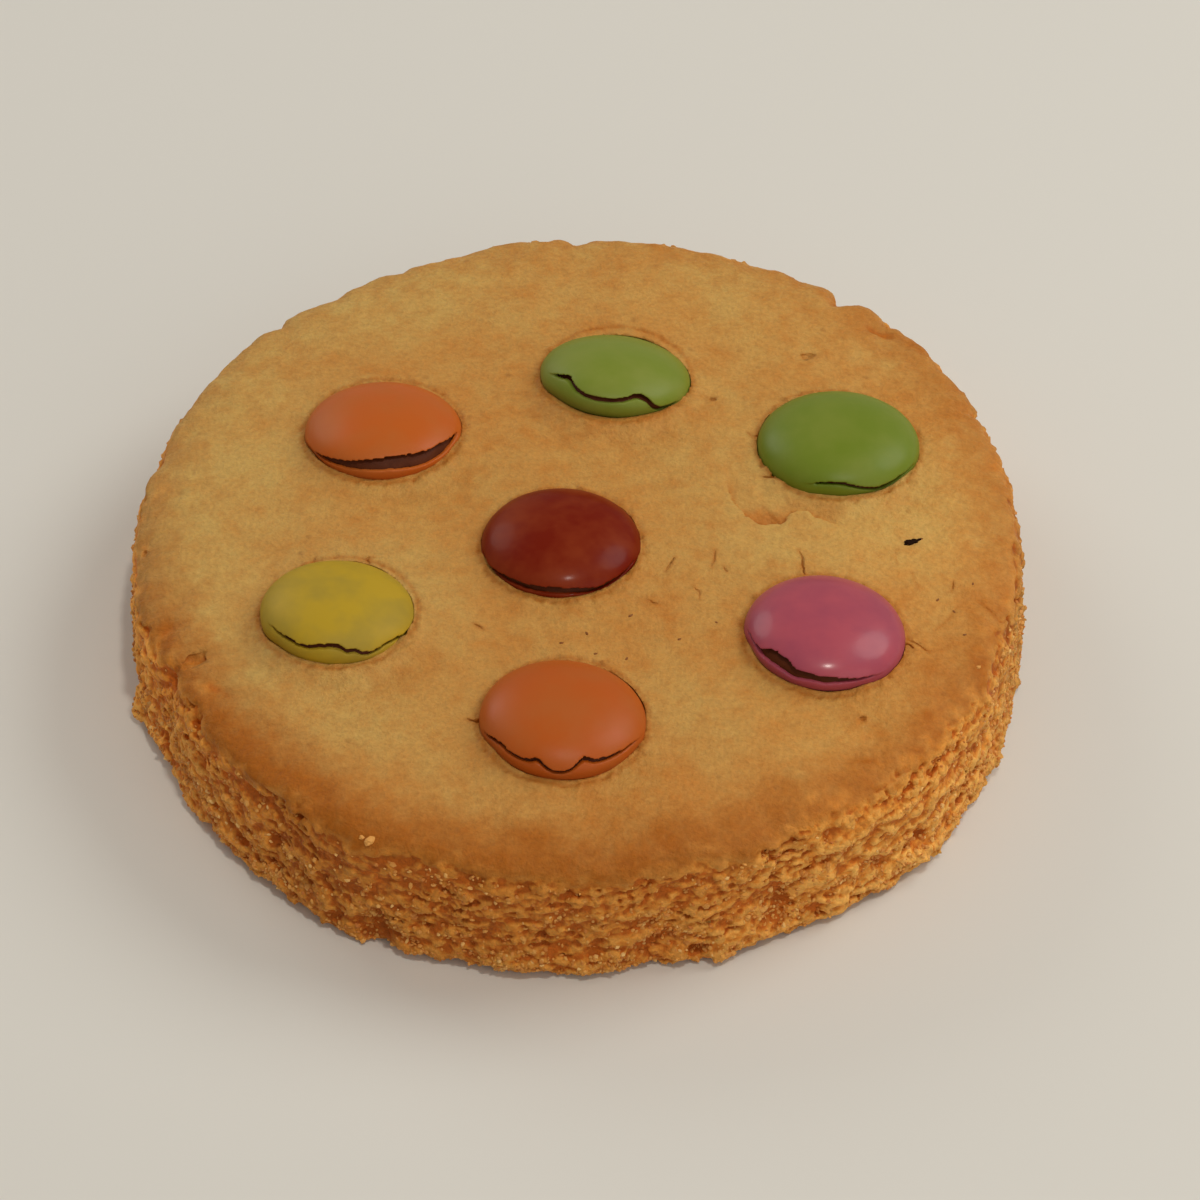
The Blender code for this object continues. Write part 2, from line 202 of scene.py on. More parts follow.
# How far the crust is broken back round the edge: plan angle, drop of its lip
LIP_DROP = (
    (0, 0.35), (12, 0.10), (30, 0.0), (170, 0.0), (185, 0.30), (205, 0.35), (222, 0.10), (240, 0.0),
    (290, 0.0), (303, 0.35), (318, 0.70), (345, 0.75), (354, 0.45), (360, 0.35),
)

# Height of the long low waves of the crust
SWELL_HEIGHT = 0.28

# Share of brown along the rim: plan angle, share
RIM_BAKE = (
    (0, 0.50), (37, 0.50), (53, 0.35), (90, 0.15), (143, 0.15), (170, 0.30), (190, 0.60),
    (217, 1.00), (235, 1.00), (270, 0.90), (300, 0.78), (323, 0.70), (350, 0.42), (360, 0.42),
)

# Crumbs that stand out of the side: plan angle, z, how far they stand out, length, thickness
STANDING_CRUMBS = (
    (343.5, 6.8, 0.75, 1.00, 0.34), (331.5, 5.6, 0.45, 0.60, 0.32), (191.0, 8.4, 0.40, 0.55, 0.34),
    (352.0, 4.5, 0.25, 0.45, 0.30), (205.0, 3.2, 0.35, 0.50, 0.32), (318.0, 0.9, 0.35, 0.60, 0.36),
)

# Burnt and browned specks on the top: x, y, half length, half width, turn
CHARRED_SPECKS = (
    (30.85, -3.1, 0.58, 0.32, 20.0), (31.35, -2.9, 0.40, 0.26, 10.0), (31.75, -2.7, 0.30, 0.14, 35.0),
)
BROWN_SPECKS = (
    (32.0, -2.55, 0.14, 0.11, 0.0), (4.8, -13.0, 0.26, 0.12, 40.0), (-1.5, -16.4, 0.22, 0.11, 10.0),
    (0.8, -15.2, 0.20, 0.10, 120.0), (1.6, -17.6, 0.20, 0.10, 20.0), (4.4, -18.2, 0.20, 0.10, 70.0),
    (9.2, -15.9, 0.20, 0.10, 35.0), (33.0, -10.4, 0.20, 0.10, 60.0), (35.2, -14.6, 0.20, 0.10, 20.0),
    (36.4, -8.2, 0.18, 0.09, 80.0), (34.4, -11.8, 0.16, 0.09, 130.0), (12.6, -13.8, 0.16, 0.09, 140.0),
)

# Pale crumbs lying on the rim: x, y, half length, half width, turn
PALE_CRUMBS = (
    (-17.9, -38.6, 0.62, 0.36, 60.0), (-18.6, -38.2, 0.30, 0.22, 20.0), (36.2, -18.4, 0.24, 0.18, 30.0),
)

# Lentil sweets, as in the construction
HALF_THICKNESS = 3.1
SIDE_POWER = 0.9
SWEETS = {
    "orange_back": (-18.8, 11.7, 14.55, 0.5, 9.5, 7.7),
    "green_back": (3.5, 19.5, 14.60, 5.5, 18.0, 7.5),
    "green_right": (24.8, 9.9, 14.55, 0.0, 6.5, 7.9),
    "red_centre": (-1.6, -4.0, 14.80, 1.0, 3.5, 7.6),
    "yellow_left": (-21.9, -12.6, 14.50, 4.5, 8.5, 7.3),
    "pink_right": (22.4, -15.1, 14.55, 3.0, 5.0, 7.5),
    "orange_front": (-1.3, -25.8, 14.50, 3.5, 5.5, 7.6),
}

# Crack of each shell: angle, height of the upper lip, opening
CRACKS = {
    "orange_back": (
        (-168, 0.15, 0.06), (-158, 0.28, 0.22), (-149, 0.40, 0.32), (-138, 0.62, 0.46),
        (-128, 0.80, 0.60), (-115, 1.05, 0.74), (-102, 1.30, 0.85), (-92, 1.45, 0.95),
        (-83, 1.55, 1.00), (-70, 1.52, 1.06), (-57, 1.45, 1.10), (-45, 1.38, 1.02),
        (-33, 1.30, 0.90), (-20, 1.10, 0.60), (-8, 0.90, 0.15),
    ),
    "green_back": (
        (-160, 1.05, 0.06), (-151, 1.35, 0.22), (-142, 1.65, 0.34), (-137, 1.62, 0.38),
        (-132, 1.40, 0.40), (-126, 1.20, 0.42), (-118, 1.00, 0.40), (-108, 0.92, 0.38),
        (-98, 0.95, 0.36), (-91, 1.00, 0.36), (-83, 1.14, 0.38), (-76, 1.36, 0.38),
        (-70, 1.30, 0.40), (-65, 1.05, 0.42), (-60, 0.40, 0.44), (-55, 0.08, 0.42),
        (-46, 0.02, 0.34), (-34, 0.05, 0.08),
    ),
    "green_right": (
        (-116, 0.62, 0.05), (-107, 0.90, 0.20), (-100, 1.05, 0.26), (-94, 1.06, 0.26),
        (-88, 1.00, 0.28), (-82, 0.82, 0.28), (-77, 0.66, 0.30), (-70, 0.45, 0.34),
        (-64, 0.30, 0.50), (-57, 0.32, 0.66), (-50, 0.38, 0.74), (-42, 0.40, 0.66),
        (-33, 0.36, 0.40), (-24, 0.26, 0.06),
    ),
    "red_centre": (
        (-170, 0.55, 0.06), (-164, 0.34, 0.26), (-158, 0.24, 0.36), (-151, 0.38, 0.42),
        (-145, 0.55, 0.46), (-136, 0.72, 0.48), (-128, 0.83, 0.50), (-120, 0.86, 0.54),
        (-113, 0.90, 0.58), (-105, 0.98, 0.60), (-99, 1.02, 0.62), (-90, 1.00, 0.62),
        (-80, 0.96, 0.60), (-71, 0.80, 0.56), (-63, 0.66, 0.52), (-50, 0.71, 0.46),
        (-37, 0.71, 0.36), (-27, 0.72, 0.24), (-17, 0.72, 0.05),
    ),
    "yellow_left": (
        (-154, 0.90, 0.06), (-144, 0.98, 0.24), (-134, 1.01, 0.32), (-126, 1.03, 0.34),
        (-119, 0.98, 0.34), (-112, 1.08, 0.36), (-105, 1.30, 0.38), (-98, 1.42, 0.38),
        (-92, 1.50, 0.38), (-86, 1.38, 0.38), (-80, 1.08, 0.38), (-77, 1.12, 0.36),
        (-74, 1.15, 0.36), (-69, 0.88, 0.38), (-64, 0.76, 0.38), (-57, 0.80, 0.34),
        (-47, 1.00, 0.30), (-36, 0.92, 0.28), (-26, 0.70, 0.26), (-16, 0.76, 0.18),
        (-4, 0.56, 0.05),
    ),
    "pink_right": (
        (-177, 0.76, 0.06), (-168, 0.82, 0.22), (-160, 0.86, 0.34), (-155, 0.90, 0.42),
        (-151, 0.95, 0.56), (-147, 1.15, 0.74), (-143, 1.42, 0.96), (-139, 1.50, 1.06),
        (-133, 1.49, 1.02), (-127, 1.47, 1.08), (-122, 1.36, 1.10), (-118, 1.10, 0.92),
        (-112, 1.04, 0.80), (-105, 1.02, 0.66), (-98, 0.98, 0.66), (-92, 0.95, 0.72),
        (-86, 0.92, 0.60), (-80, 0.85, 0.50), (-72, 0.74, 0.36), (-62, 0.58, 0.22),
        (-50, 0.44, 0.05),
    ),
    "orange_front": (
        (-164, 0.40, 0.06), (-158, 0.58, 0.24), (-152, 0.82, 0.32), (-146, 0.98, 0.36),
        (-141, 1.04, 0.36), (-134, 0.98, 0.36), (-127, 0.94, 0.36), (-121, 0.97, 0.38),
        (-116, 1.04, 0.38), (-112, 1.24, 0.36), (-108, 1.22, 0.38), (-104, 0.98, 0.38),
        (-99, 0.70, 0.38), (-94, 0.62, 0.38), (-89, 0.66, 0.38), (-84, 0.88, 0.38),
        (-79, 1.26, 0.38), (-74, 1.52, 0.36), (-70, 1.44, 0.38), (-66, 1.24, 0.38),
        (-57, 1.16, 0.36), (-47, 1.10, 0.34), (-34, 1.04, 0.28), (-26, 0.90, 0.18),
        (-18, 0.76, 0.05),
    ),
}

# Height of the dough pushed up along the front of each sweet
COLLARS = {
    "orange_back": 0.55, "green_back": 0.80, "green_right": 0.50, "red_centre": 0.35,
    "yellow_left": 0.70, "pink_right": 0.15, "orange_front": 0.25,
}

# Fine cracks of the top crust: width, depth, then the points of the crack
TOP_CRACKS = (
    (0.20, 0.09, ((32.6, -14.2), (33.6, -13.1), (34.8, -11.2))),
    (0.20, 0.09, ((36.8, -10.3), (38.2, -12.0), (39.3, -13.0))),
    (0.20, 0.10, ((29.9, -15.4), (30.7, -16.1), (31.9, -17.1))),
    (0.28, 0.18, ((12.7, -4.4), (12.6, -5.4), (12.3, -6.8))),
    (0.22, 0.16, ((13.4, -6.4), (13.8, -7.4))),
    (0.24, 0.16, ((20.4, -4.2), (20.9, -5.6), (20.7, -6.4), (20.9, -7.7))),
    (0.24, 0.16, ((8.9, -5.5), (8.6, -6.4), (8.0, -7.4))),
    (0.20, 0.12, ((10.6, -9.2), (11.2, -10.0), (11.1, -10.9))), (0.18, 0.12, ((6.4, -11.0), (7.3, -11.6))),
    (0.18, 0.10, ((29.7, -3.9), (29.4, -4.8), (29.6, -5.9))), (0.18, 0.10, ((34.6, -8.0), (34.4, -9.3))),
    (0.18, 0.10, ((30.9, -7.0), (31.0, -8.2), (31.6, -9.0))), (0.18, 0.10, ((-9.6, -14.0), (-8.6, -14.6))),
)

# Short tears of the crust beside the sweets: sweet, angle, length, width, depth
TEARS = (
    ("yellow_left", 68, 0.7, 0.24, 0.10), ("yellow_left", 108, 0.6, 0.22, 0.10),
    ("yellow_left", 140, 0.7, 0.24, 0.10), ("orange_front", 62, 0.8, 0.24, 0.10),
    ("orange_front", 178, 0.9, 0.30, 0.16), ("green_right", 168, 1.0, 0.50, 0.16),
    ("green_right", 212, 0.8, 0.40, 0.14), ("pink_right", -12, 0.7, 0.24, 0.10),
)

# Soft round lights: name, place in metres, width in metres, power in watts, colour
LIGHTS = (
    ("window_right", (0.505, 0.227, 0.507), 0.45, 2.15, "#fffdf9"),
    ("window_left", (-0.437, 0.492, 0.359), 0.40, 1.0, "#fffdf9"),
    ("ceiling_lamp", (0.10, -0.19, 0.68), 0.05, 1.1, "#fff8ee"),
    ("room_front", (0.62, -0.76, 0.50), 1.10, 2.4, "#fff7ee"),
)

# How far a tear reaches under its sweet, and how many degrees its middle is turned
TEAR_OVERLAP = 0.5
TEAR_KINK = 4.0

# Farther than anything on the biscuit
FAR = 99.0

# Distance from the middle where the broken side starts, and the lowest that the crust reaches
WALL_START = 39.0
CRUST_LOWEST = 11.0

# Beta distribution of the sizes of crumbs and grains: few large ones among many small
SIZE_SPREAD = (1.3, 3.6)


def linear_colour(code: str) -> tuple[float, float, float, float]:
    """Turn an sRGB hex colour into Blender's linear colour.

    Args:
        code: The colour as six hex digits after a hash.

    Returns:
        Red, green, blue and an alpha of one.
    """
    shares = [int(code[place:place + 2], 16) / 255.0 for place in (1, 3, 5)]
    lit = [s / 12.92 if s <= 0.04045 else ((s + 0.055) / 1.055) ** 2.4 for s in shares]
    return (lit[0], lit[1], lit[2], 1.0)


def per_mm(size: float) -> float:
    """Return the texture scale that gives features of a size in millimetres."""
    return 1.0 / (size * MM)


def put(
    tree: bpy.types.NodeTree,
    kind: str,
    settings: dict[str, object] | None = None,
    inputs: dict[str | int, object] | None = None,
) -> bpy.types.Node:
    """Add one node with its settings and links.

    Args:
        tree: The material's node tree.
        kind: Blender's name for the kind of node.
        settings: Properties of the node by name.
        inputs: Values or linked sockets by input name or place.

    Returns:
        The new node.
    """
    made = tree.nodes.new(kind)
    for name, value in (settings or {}).items():
        setattr(made, name, value)
    for name, value in (inputs or {}).items():
        if isinstance(value, bpy.types.NodeSocket):
            tree.links.new(value, made.inputs[name])
        else:
            made.inputs[name].default_value = value
    return made


def new_material(name: str) -> tuple[bpy.types.Material, bpy.types.NodeTree, bpy.types.Node]:
    """Start a material.

    Args:
        name: The material's name.

    Returns:
        The material, its node tree and its shader.
    """
    made = bpy.data.materials.new(name)
    made.use_nodes = True
    return made, made.node_tree, made.node_tree.nodes["Principled BSDF"]


def set_inputs(shader: bpy.types.Node, values: dict[str, object]) -> None:
    """Set constants on a shader's own sockets."""
    for name, value in values.items():
        shader.inputs[name].default_value = value


def rise(low: float, high: float, value: np.ndarray) -> np.ndarray:
    """Give 0 below low, 1 above high and a smooth rise between.

    Args:
        low: Where the rise starts.
        high: Where the rise ends.
        value: The values to place.

    Returns:
        The share of the rise for each value.
    """
    share = np.clip((value - low) / (high - low), 0.0, 1.0)
    return share * share * (3.0 - 2.0 * share)


def ripple(points: np.ndarray, size: tuple[float, float, float], seed: float) -> np.ndarray:
    """Give smooth noise with waves of a chosen size.

    Args:
        points: Places in millimetres, one row each.
        size: The wave size along X, Y and Z in millimetres.
        seed: A shift that makes another pattern.

    Returns:
        A value between about -1 and 1 for each place.
    """
    scaled = points / np.array(size) + seed
    return np.array([noise.noise(row) for row in scaled.tolist()])


def turned_from(first: np.ndarray, second: float) -> np.ndarray:
    """Return the signed difference between plan angles."""
    return (first - second + 180.0) % 360.0 - 180.0


def plan_angle(points: np.ndarray) -> np.ndarray:
    """Return the plan angle of each place, from 0 to 360."""
    return np.degrees(np.arctan2(points[:, 1], points[:, 0])) % 360.0


def mound(points: np.ndarray, x: float, y: float, length: float, width: float, turn: float) -> np.ndarray:
    """Give a soft oval mound on the plan.

    Args:
        points: Places in millimetres, one row each.
        x: The mound's middle.
        y: The mound's middle.
        length: Half its length.
        width: Half its width.
        turn: The plan angle of its length.

    Returns:
        The height for each place, 1 in the middle.
    """
    side = radians(turn)
    along = (points[:, 0] - x) * cos(side) + (points[:, 1] - y) * sin(side)
    aside = (points[:, 1] - y) * cos(side) - (points[:, 0] - x) * sin(side)
    return np.exp(-(along / length) ** 2 - (aside / width) ** 2)


def from_line(
    points: np.ndarray, start: np.ndarray, stop: np.ndarray
) -> tuple[np.ndarray, np.ndarray, np.ndarray]:
    """Measure places on the plan against one straight piece of a line.

    Args:
        points: Places in millimetres, one row each.
        start: The first end of the piece.
        stop: The other end.

    Returns:
        The share of the way along it, the distance, and the side: above 0 on its left hand.
    """
    span, gap = stop - start, points[:, :2] - start
    share = np.clip(gap @ span / (span @ span), 0.0, 1.0)
    away = gap - share[:, None] * span
    return share, np.hypot(away[:, 0], away[:, 1]), span[0] * gap[:, 1] - span[1] * gap[:, 0]


def coordinates(mesh: bpy.types.Mesh) -> np.ndarray:
    """Read the vertex places of a mesh.

    Args:
        mesh: The mesh to read.

    Returns:
        The places in millimetres, one row each.
    """
    flat = np.zeros(len(mesh.vertices) * 3, np.float32)
    mesh.vertices.foreach_get("co", flat)
    return flat.reshape(-1, 3).astype(float) / MM


def set_coordinates(mesh: bpy.types.Mesh, points: np.ndarray) -> None:
    """Move the mesh's vertices to places given in millimetres.

    Args:
        mesh: The mesh to change.
        points: The new places, one row each.
    """
    mesh.vertices.foreach_set("co", (points * MM).astype(np.float32).ravel())
    mesh.update()


def normals(mesh: bpy.types.Mesh) -> np.ndarray:
    """Read the vertex normals of a mesh.

    Args:
        mesh: The mesh to read.

    Returns:
        The normals, one row each.
    """
    flat = np.zeros(len(mesh.vertices) * 3, np.float32)
    mesh.vertex_normals.foreach_get("vector", flat)
    return flat.reshape(-1, 3).astype(float)


def face_values(mesh: bpy.types.Mesh, name: str, width: int) -> np.ndarray:
    """Read one property of all faces.

    Args:
        mesh: The mesh to read.
        name: Blender's name for the property.
        width: How many numbers it has.

    Returns:
        The property, one row each.
    """
    flat = np.zeros(len(mesh.polygons) * width, np.float32)
    mesh.polygons.foreach_get(name, flat)
    return flat.reshape(-1, width).astype(float)


def deselect() -> None:
    """Leave nothing selected, in object mode."""
    if bpy.context.mode != "OBJECT":
        bpy.ops.object.mode_set(mode="OBJECT")
    bpy.ops.object.select_all(action="DESELECT")


def only(piece: bpy.types.Object) -> None:
    """Select one object alone and make it active.

    Args:
        piece: The object to select.
    """
    deselect()
    piece.select_set(True)
    bpy.context.view_layer.objects.active = piece


def apply_step(piece: bpy.types.Object, kind: str, **settings: object) -> None:
    """Add one modifier to a piece and apply it.

    Args:
        piece: The object to change.
        kind: Blender's name for the kind of modifier.
        **settings: Properties of the modifier.
    """
    only(piece)
    step = piece.modifiers.new("step", kind)
    for name, value in settings.items():
        setattr(step, name, value)
    bpy.ops.object.modifier_apply(modifier=step.name)


def cut_away(piece: bpy.types.Object, tool: bpy.types.Object) -> None:
    """Subtract a tool from a piece and remove the tool.

    Args:
        piece: The closed object to cut.
        tool: The closed object to cut with.
    """
    apply_step(piece, "BOOLEAN", operation="DIFFERENCE", solver="MANIFOLD", object=tool)
    bpy.data.objects.remove(tool, do_unlink=True)


def voxel(piece: bpy.types.Object, size: float) -> None:
    """Rebuild a closed piece with even faces, fusing what overlaps."""
    apply_step(piece, "REMESH", mode="VOXEL", voxel_size=size * MM, adaptivity=0.0)


def join(pieces: list[bpy.types.Object]) -> bpy.types.Object:
    """Join objects into the first of them.

    Args:
        pieces: The objects to join.

    Returns:
        The first object, now holding all meshes.
    """
    only(pieces[0])
    for piece in pieces:
        piece.select_set(True)
    if len(pieces) > 1:
        bpy.ops.object.join()
    return pieces[0]


def loft(name: str, rings: list[np.ndarray]) -> bpy.types.Object:
    """Extrude a many sided face through rings of points into a closed solid.

    Args:
        name: The new object's name.
        rings: Rings of equally many points in millimetres.

    Returns:
        The closed solid.
    """
    deselect()
    bpy.ops.mesh.primitive_circle_add(vertices=len(rings[0]), radius=MM, fill_type="NGON")
    made = bpy.context.object
    made.name = name
    bpy.ops.object.mode_set(mode="EDIT")
    work = bmesh.from_edit_mesh(made.data)
    for vertex, place in zip(work.verts, rings[0]):
        vertex.co = Vector(place) * MM
    for ring in rings[1:]:
        bpy.ops.mesh.extrude_region_move()
        work = bmesh.from_edit_mesh(made.data)
        fresh = [vertex for vertex in work.verts if vertex.select]
        for vertex, place in zip(fresh, ring):
            vertex.co = Vector(place) * MM
        bmesh.update_edit_mesh(made.data)
    bpy.ops.mesh.select_all(action="SELECT")
    bpy.ops.mesh.normals_make_consistent(inside=False)
    bpy.ops.object.mode_set(mode="OBJECT")
    return made


def scattered(name: str, seed_piece: bpy.types.Object, places: np.ndarray) -> bpy.types.Object:
    """Join many copies of one small piece into a new object.

    Args:
        name: The new object's name.
        seed_piece: The small piece, modelled at the origin. It is removed.
        places: One 3 by 4 matrix for each copy, in millimetres.

    Returns:
        The joined object.
    """
    points = coordinates(seed_piece.data)
    faces = np.array([tuple(face.vertices) for face in seed_piece.data.polygons])
    spread = np.einsum("nij,vj->nvi", places[:, :, :3], points) + places[:, None, :, 3]
    shift = (np.arange(len(places)) * len(points))[:, None, None]
    mesh = bpy.data.meshes.new(name)
    corners = (spread.reshape(-1, 3) * MM).tolist()
    mesh.from_pydata(corners, [], (faces[None] + shift).reshape(-1, faces.shape[1]).tolist())
    made = bpy.data.objects.new(name, mesh)
    bpy.context.scene.collection.objects.link(made)
    bpy.data.objects.remove(seed_piece, do_unlink=True)
    return made


def store(mesh: bpy.types.Mesh, name: str, values: np.ndarray) -> None:
    """Keep one number for each vertex as a named attribute.

    Args:
        mesh: The mesh to mark.
        name: The attribute's name.
        values: One value for each vertex.
    """
    layer = mesh.attributes.new(name, "FLOAT", "POINT")
    layer.data.foreach_set("value", values.astype(np.float32))


def ridges(mesh: bpy.types.Mesh, rounds: int) -> np.ndarray:
    """Tell ridges from crevices.

    Args:
        mesh: The mesh to read.
        rounds: How often the mesh is smoothed for the comparison.

    Returns:
        The height in millimetres over the smoothed mesh, for each vertex.
    """
    pairs = np.zeros(len(mesh.edges) * 2, np.int32)
    mesh.edges.foreach_get("vertices", pairs)
    first, second = pairs.reshape(-1, 2).T
    start = coordinates(mesh)
    count = np.bincount(pairs, minlength=len(start))[:, None]
    now = start
    for _ in range(rounds):
        total = np.column_stack([
            np.bincount(first, now[second, axis], len(start))
            + np.bincount(second, now[first, axis], len(start))
            for axis in range(3)])
        now = 0.5 * now + 0.5 * total / np.maximum(count, 1)
    return ((start - now) * normals(mesh)).sum(axis=1)


def smooth_shaded(piece: bpy.types.Object) -> None:
    """Shade all faces of a piece smooth."""
    only(piece)
    bpy.ops.object.shade_smooth()


def lump(name: str, detail: int, uneven: float, seed: float) -> bpy.types.Object:
    """Model one uneven lump of about 1 mm radius round the origin.

    Args:
        name: The new object's name.
        detail: Subdivisions of its faces.
        uneven: The height of its waves in millimetres.
        seed: The pattern of its waves.

    Returns:
        The closed lump.
    """
    deselect()
    bpy.ops.mesh.primitive_ico_sphere_add(subdivisions=detail, radius=MM)
    made = bpy.context.object
    made.name = name
    points = coordinates(made.data)
    waves = ripple(points, (0.9, 0.9, 0.9), seed)
    set_coordinates(made.data, points * (1.0 + uneven * waves)[:, None])
    return made


def kept_inside(points: np.ndarray) -> np.ndarray:
    """Hold places in millimetres inside the box of the construction."""
    low, high = (np.array(corner) / MM for corner in CAD_BOX)
    return np.clip(points, low, high)


class Bake(Enum):
    """How far a spot of the crust is baked; the brown also serves as painted shade in crevices, cracks, the
    sunk crust and round the sweets.
    """

    PALE = "#c39c53"
    GOLDEN = "#be7e34"
    BROWN = "#a65d0d"


@dataclass(frozen=True)
class ShortcrustFinish:
    """Baked shortcrust: a dull golden skin over a granular buttery crumb."""

    name: str = "baked_shortcrust"
    crumb_cream: str = "#e8b05a"
    crumb_mid: str = "#d08530"
    crumb_deep: str = "#b35c12"
    fleck: str = "#8c5a24"
    patch_size: float = 6.0
    mottle_size: float = 1.9
    grain_size: float = 0.48
    granule_size: float = 0.50
    fleck_spacing: float = 3.4
    fleck_share: float = 0.30
    patch_gain: float = 1.1
    mottle_gain: float = 0.8
    ridge_height: float = 0.11
    grain_tone: float = 0.11
    grain_height: float = 0.15
    mottle_height: float = 0.16
    skin_roughness: float = 0.66
    specular: float = 0.22
    glow_depth: float = 1.2

    def build(self) -> bpy.types.Material:
        """Make the material.

        Returns:
            The shortcrust material, which reads the toast, bake, light, crumb, hollow and ridge
            attributes. Bake, hollow and ridge carry painted shade in crevices, cracks, the sunk crust
            and round the sweets, with paler crests as painted highlight; light carries painted light
            round the side.
        """
        made, tree, shader = new_material(self.name)
        place = put(tree, "ShaderNodeTexCoord").outputs["Object"]
        toast, bake_and_painted_shade, light, crumb, hollow, ridge = (
            put(tree, "ShaderNodeAttribute", {"attribute_name": mark}).outputs["Fac"]
            for mark in ("toast", "bake_and_painted_shade", "light", "crumb", "hollow", "ridge"))
        patch = put(tree, "ShaderNodeTexNoise", None, {
            "Vector": place, "Scale": per_mm(self.patch_size), "Detail": 3.0, "Roughness": 0.6})
        mottle = put(tree, "ShaderNodeTexNoise", None, {
            "Vector": place, "Scale": per_mm(self.mottle_size), "Detail": 4.0, "Roughness": 0.6})
        grain = put(tree, "ShaderNodeTexNoise", None, {
            "Vector": place, "Scale": per_mm(self.grain_size), "Detail": 2.0, "Roughness": 0.7})
        fleck = put(tree, "ShaderNodeTexVoronoi", None, {
            "Vector": place, "Scale": per_mm(self.fleck_spacing), "Randomness": 1.0})
        cloudy = put(tree, "ShaderNodeMath", {"operation": "MULTIPLY_ADD"}, {
            0: patch.outputs["Fac"], 1: self.patch_gain, 2: -0.5 * self.patch_gain})
        uneven = put(tree, "ShaderNodeMath", {"operation": "MULTIPLY_ADD"}, {
            0: mottle.outputs["Fac"], 1: self.mottle_gain, 2: -0.5 * self.mottle_gain})
        clouds = put(tree, "ShaderNodeMath", {"operation": "ADD"}, {
            0: cloudy.outputs["Value"], 1: uneven.outputs["Value"]})
        toasted = put(tree, "ShaderNodeMath", {"operation": "ADD", "use_clamp": True}, {
            0: toast, 1: clouds.outputs["Value"]})
        pale = put(tree, "ShaderNodeMix", {"data_type": "RGBA"}, {
            "Factor": toasted.outputs["Value"],
            6: linear_colour(Bake.PALE.value), 7: linear_colour(Bake.GOLDEN.value)})
        baked_and_painted_shade = put(tree, "ShaderNodeMath", {"operation": "ADD", "use_clamp": True}, {
            0: bake_and_painted_shade, 1: uneven.outputs["Value"]})
        skin = put(tree, "ShaderNodeMix", {"data_type": "RGBA"}, {
            "Factor": baked_and_painted_shade.outputs["Value"], 6: pale.outputs[2], 7: linear_colour(Bake.BROWN.value)})
        # Painted shade and highlight, partly the crumb's own baked tone: spots below their neighbours or
        # deep in the side go from mid to deep orange-brown, crests towards cream
        crest = put(tree, "ShaderNodeMapRange", None, {
            "Value": ridge, "From Min": -self.ridge_height, "From Max": self.ridge_height,
            "To Min": -0.85, "To Max": 0.75})
        carved = put(tree, "ShaderNodeMath", {"operation": "MULTIPLY_ADD"}, {
            0: clouds.outputs["Value"], 1: -0.9, 2: crest.outputs["Result"]})
        height = put(tree, "ShaderNodeMath", {"operation": "MULTIPLY_ADD"}, {
            0: hollow, 1: -0.9, 2: carved.outputs["Value"]})
        down = put(tree, "ShaderNodeMapRange", None, {
            "Value": height.outputs["Value"], "From Min": 0.0, "From Max": -1.0})
        crest_up = put(tree, "ShaderNodeMapRange", None, {
            "Value": height.outputs["Value"], "From Min": 0.1, "From Max": 1.1, "To Max": 0.8})
        recess = put(tree, "ShaderNodeMix", {"data_type": "RGBA"}, {
            "Factor": down.outputs["Result"],
            6: linear_colour(self.crumb_mid), 7: linear_colour(self.crumb_deep)})
        inside = put(tree, "ShaderNodeMix", {"data_type": "RGBA"}, {
            "Factor": crest_up.outputs["Result"],
            6: recess.outputs[2], 7: linear_colour(self.crumb_cream)})
        whole = put(tree, "ShaderNodeMix", {"data_type": "RGBA"}, {
            "Factor": crumb, 6: skin.outputs[2], 7: inside.outputs[2]})
        fleck_share = put(tree, "ShaderNodeMapRange", None, {
            "Value": fleck.outputs["Distance"], "From Min": 0.06, "From Max": 0.12,
            "To Min": self.fleck_share, "To Max": 0.0})
        flecked = put(tree, "ShaderNodeMix", {"data_type": "RGBA"}, {
            "Factor": fleck_share.outputs["Result"], 6: whole.outputs[2], 7: linear_colour(self.fleck)})
        shade = put(tree, "ShaderNodeMapRange", None, {
            "Value": grain.outputs["Fac"], "From Min": 0.3, "From Max": 0.7,
            "To Min": 1.0 - self.grain_tone, "To Max": 1.0 + self.grain_tone})
        granule = put(tree, "ShaderNodeTexVoronoi", None, {
            "Vector": place, "Scale": per_mm(self.granule_size), "Randomness": 1.0})
        granule_tone = put(tree, "ShaderNodeMapRange", None, {
            "Value": granule.outputs["Color"], "From Min": 0.2, "From Max": 0.8,
            "To Min": -0.11, "To Max": 0.13})
        granular = put(tree, "ShaderNodeMath", {"operation": "MULTIPLY_ADD"}, {
            0: granule_tone.outputs["Result"], 1: crumb, 2: light})
        lit = put(tree, "ShaderNodeMath", {"operation": "MULTIPLY"}, {
            0: shade.outputs["Result"], 1: granular.outputs["Value"]})
        tone = put(tree, "ShaderNodeHueSaturation", None, {
            "Color": flecked.outputs[2], "Value": lit.outputs["Value"]})
        tree.links.new(tone.outputs["Color"], shader.inputs["Base Color"])
        granule_height = put(tree, "ShaderNodeMath", {"operation": "MULTIPLY"}, {
            0: granule.outputs["Distance"], 1: crumb})
        relief = put(tree, "ShaderNodeMath", {"operation": "MULTIPLY_ADD"}, {
            0: granule_height.outputs["Value"], 1: -0.8, 2: grain.outputs["Fac"]})
        bump_fine = put(tree, "ShaderNodeBump", None, {
            "Height": relief.outputs["Value"], "Distance": self.grain_height * MM, "Strength": 1.0})
        bump = put(tree, "ShaderNodeBump", None, {
            "Height": mottle.outputs["Fac"], "Distance": self.mottle_height * MM, "Strength": 0.4,
            "Normal": bump_fine.outputs["Normal"]})
        tree.links.new(bump.outputs["Normal"], shader.inputs["Normal"])
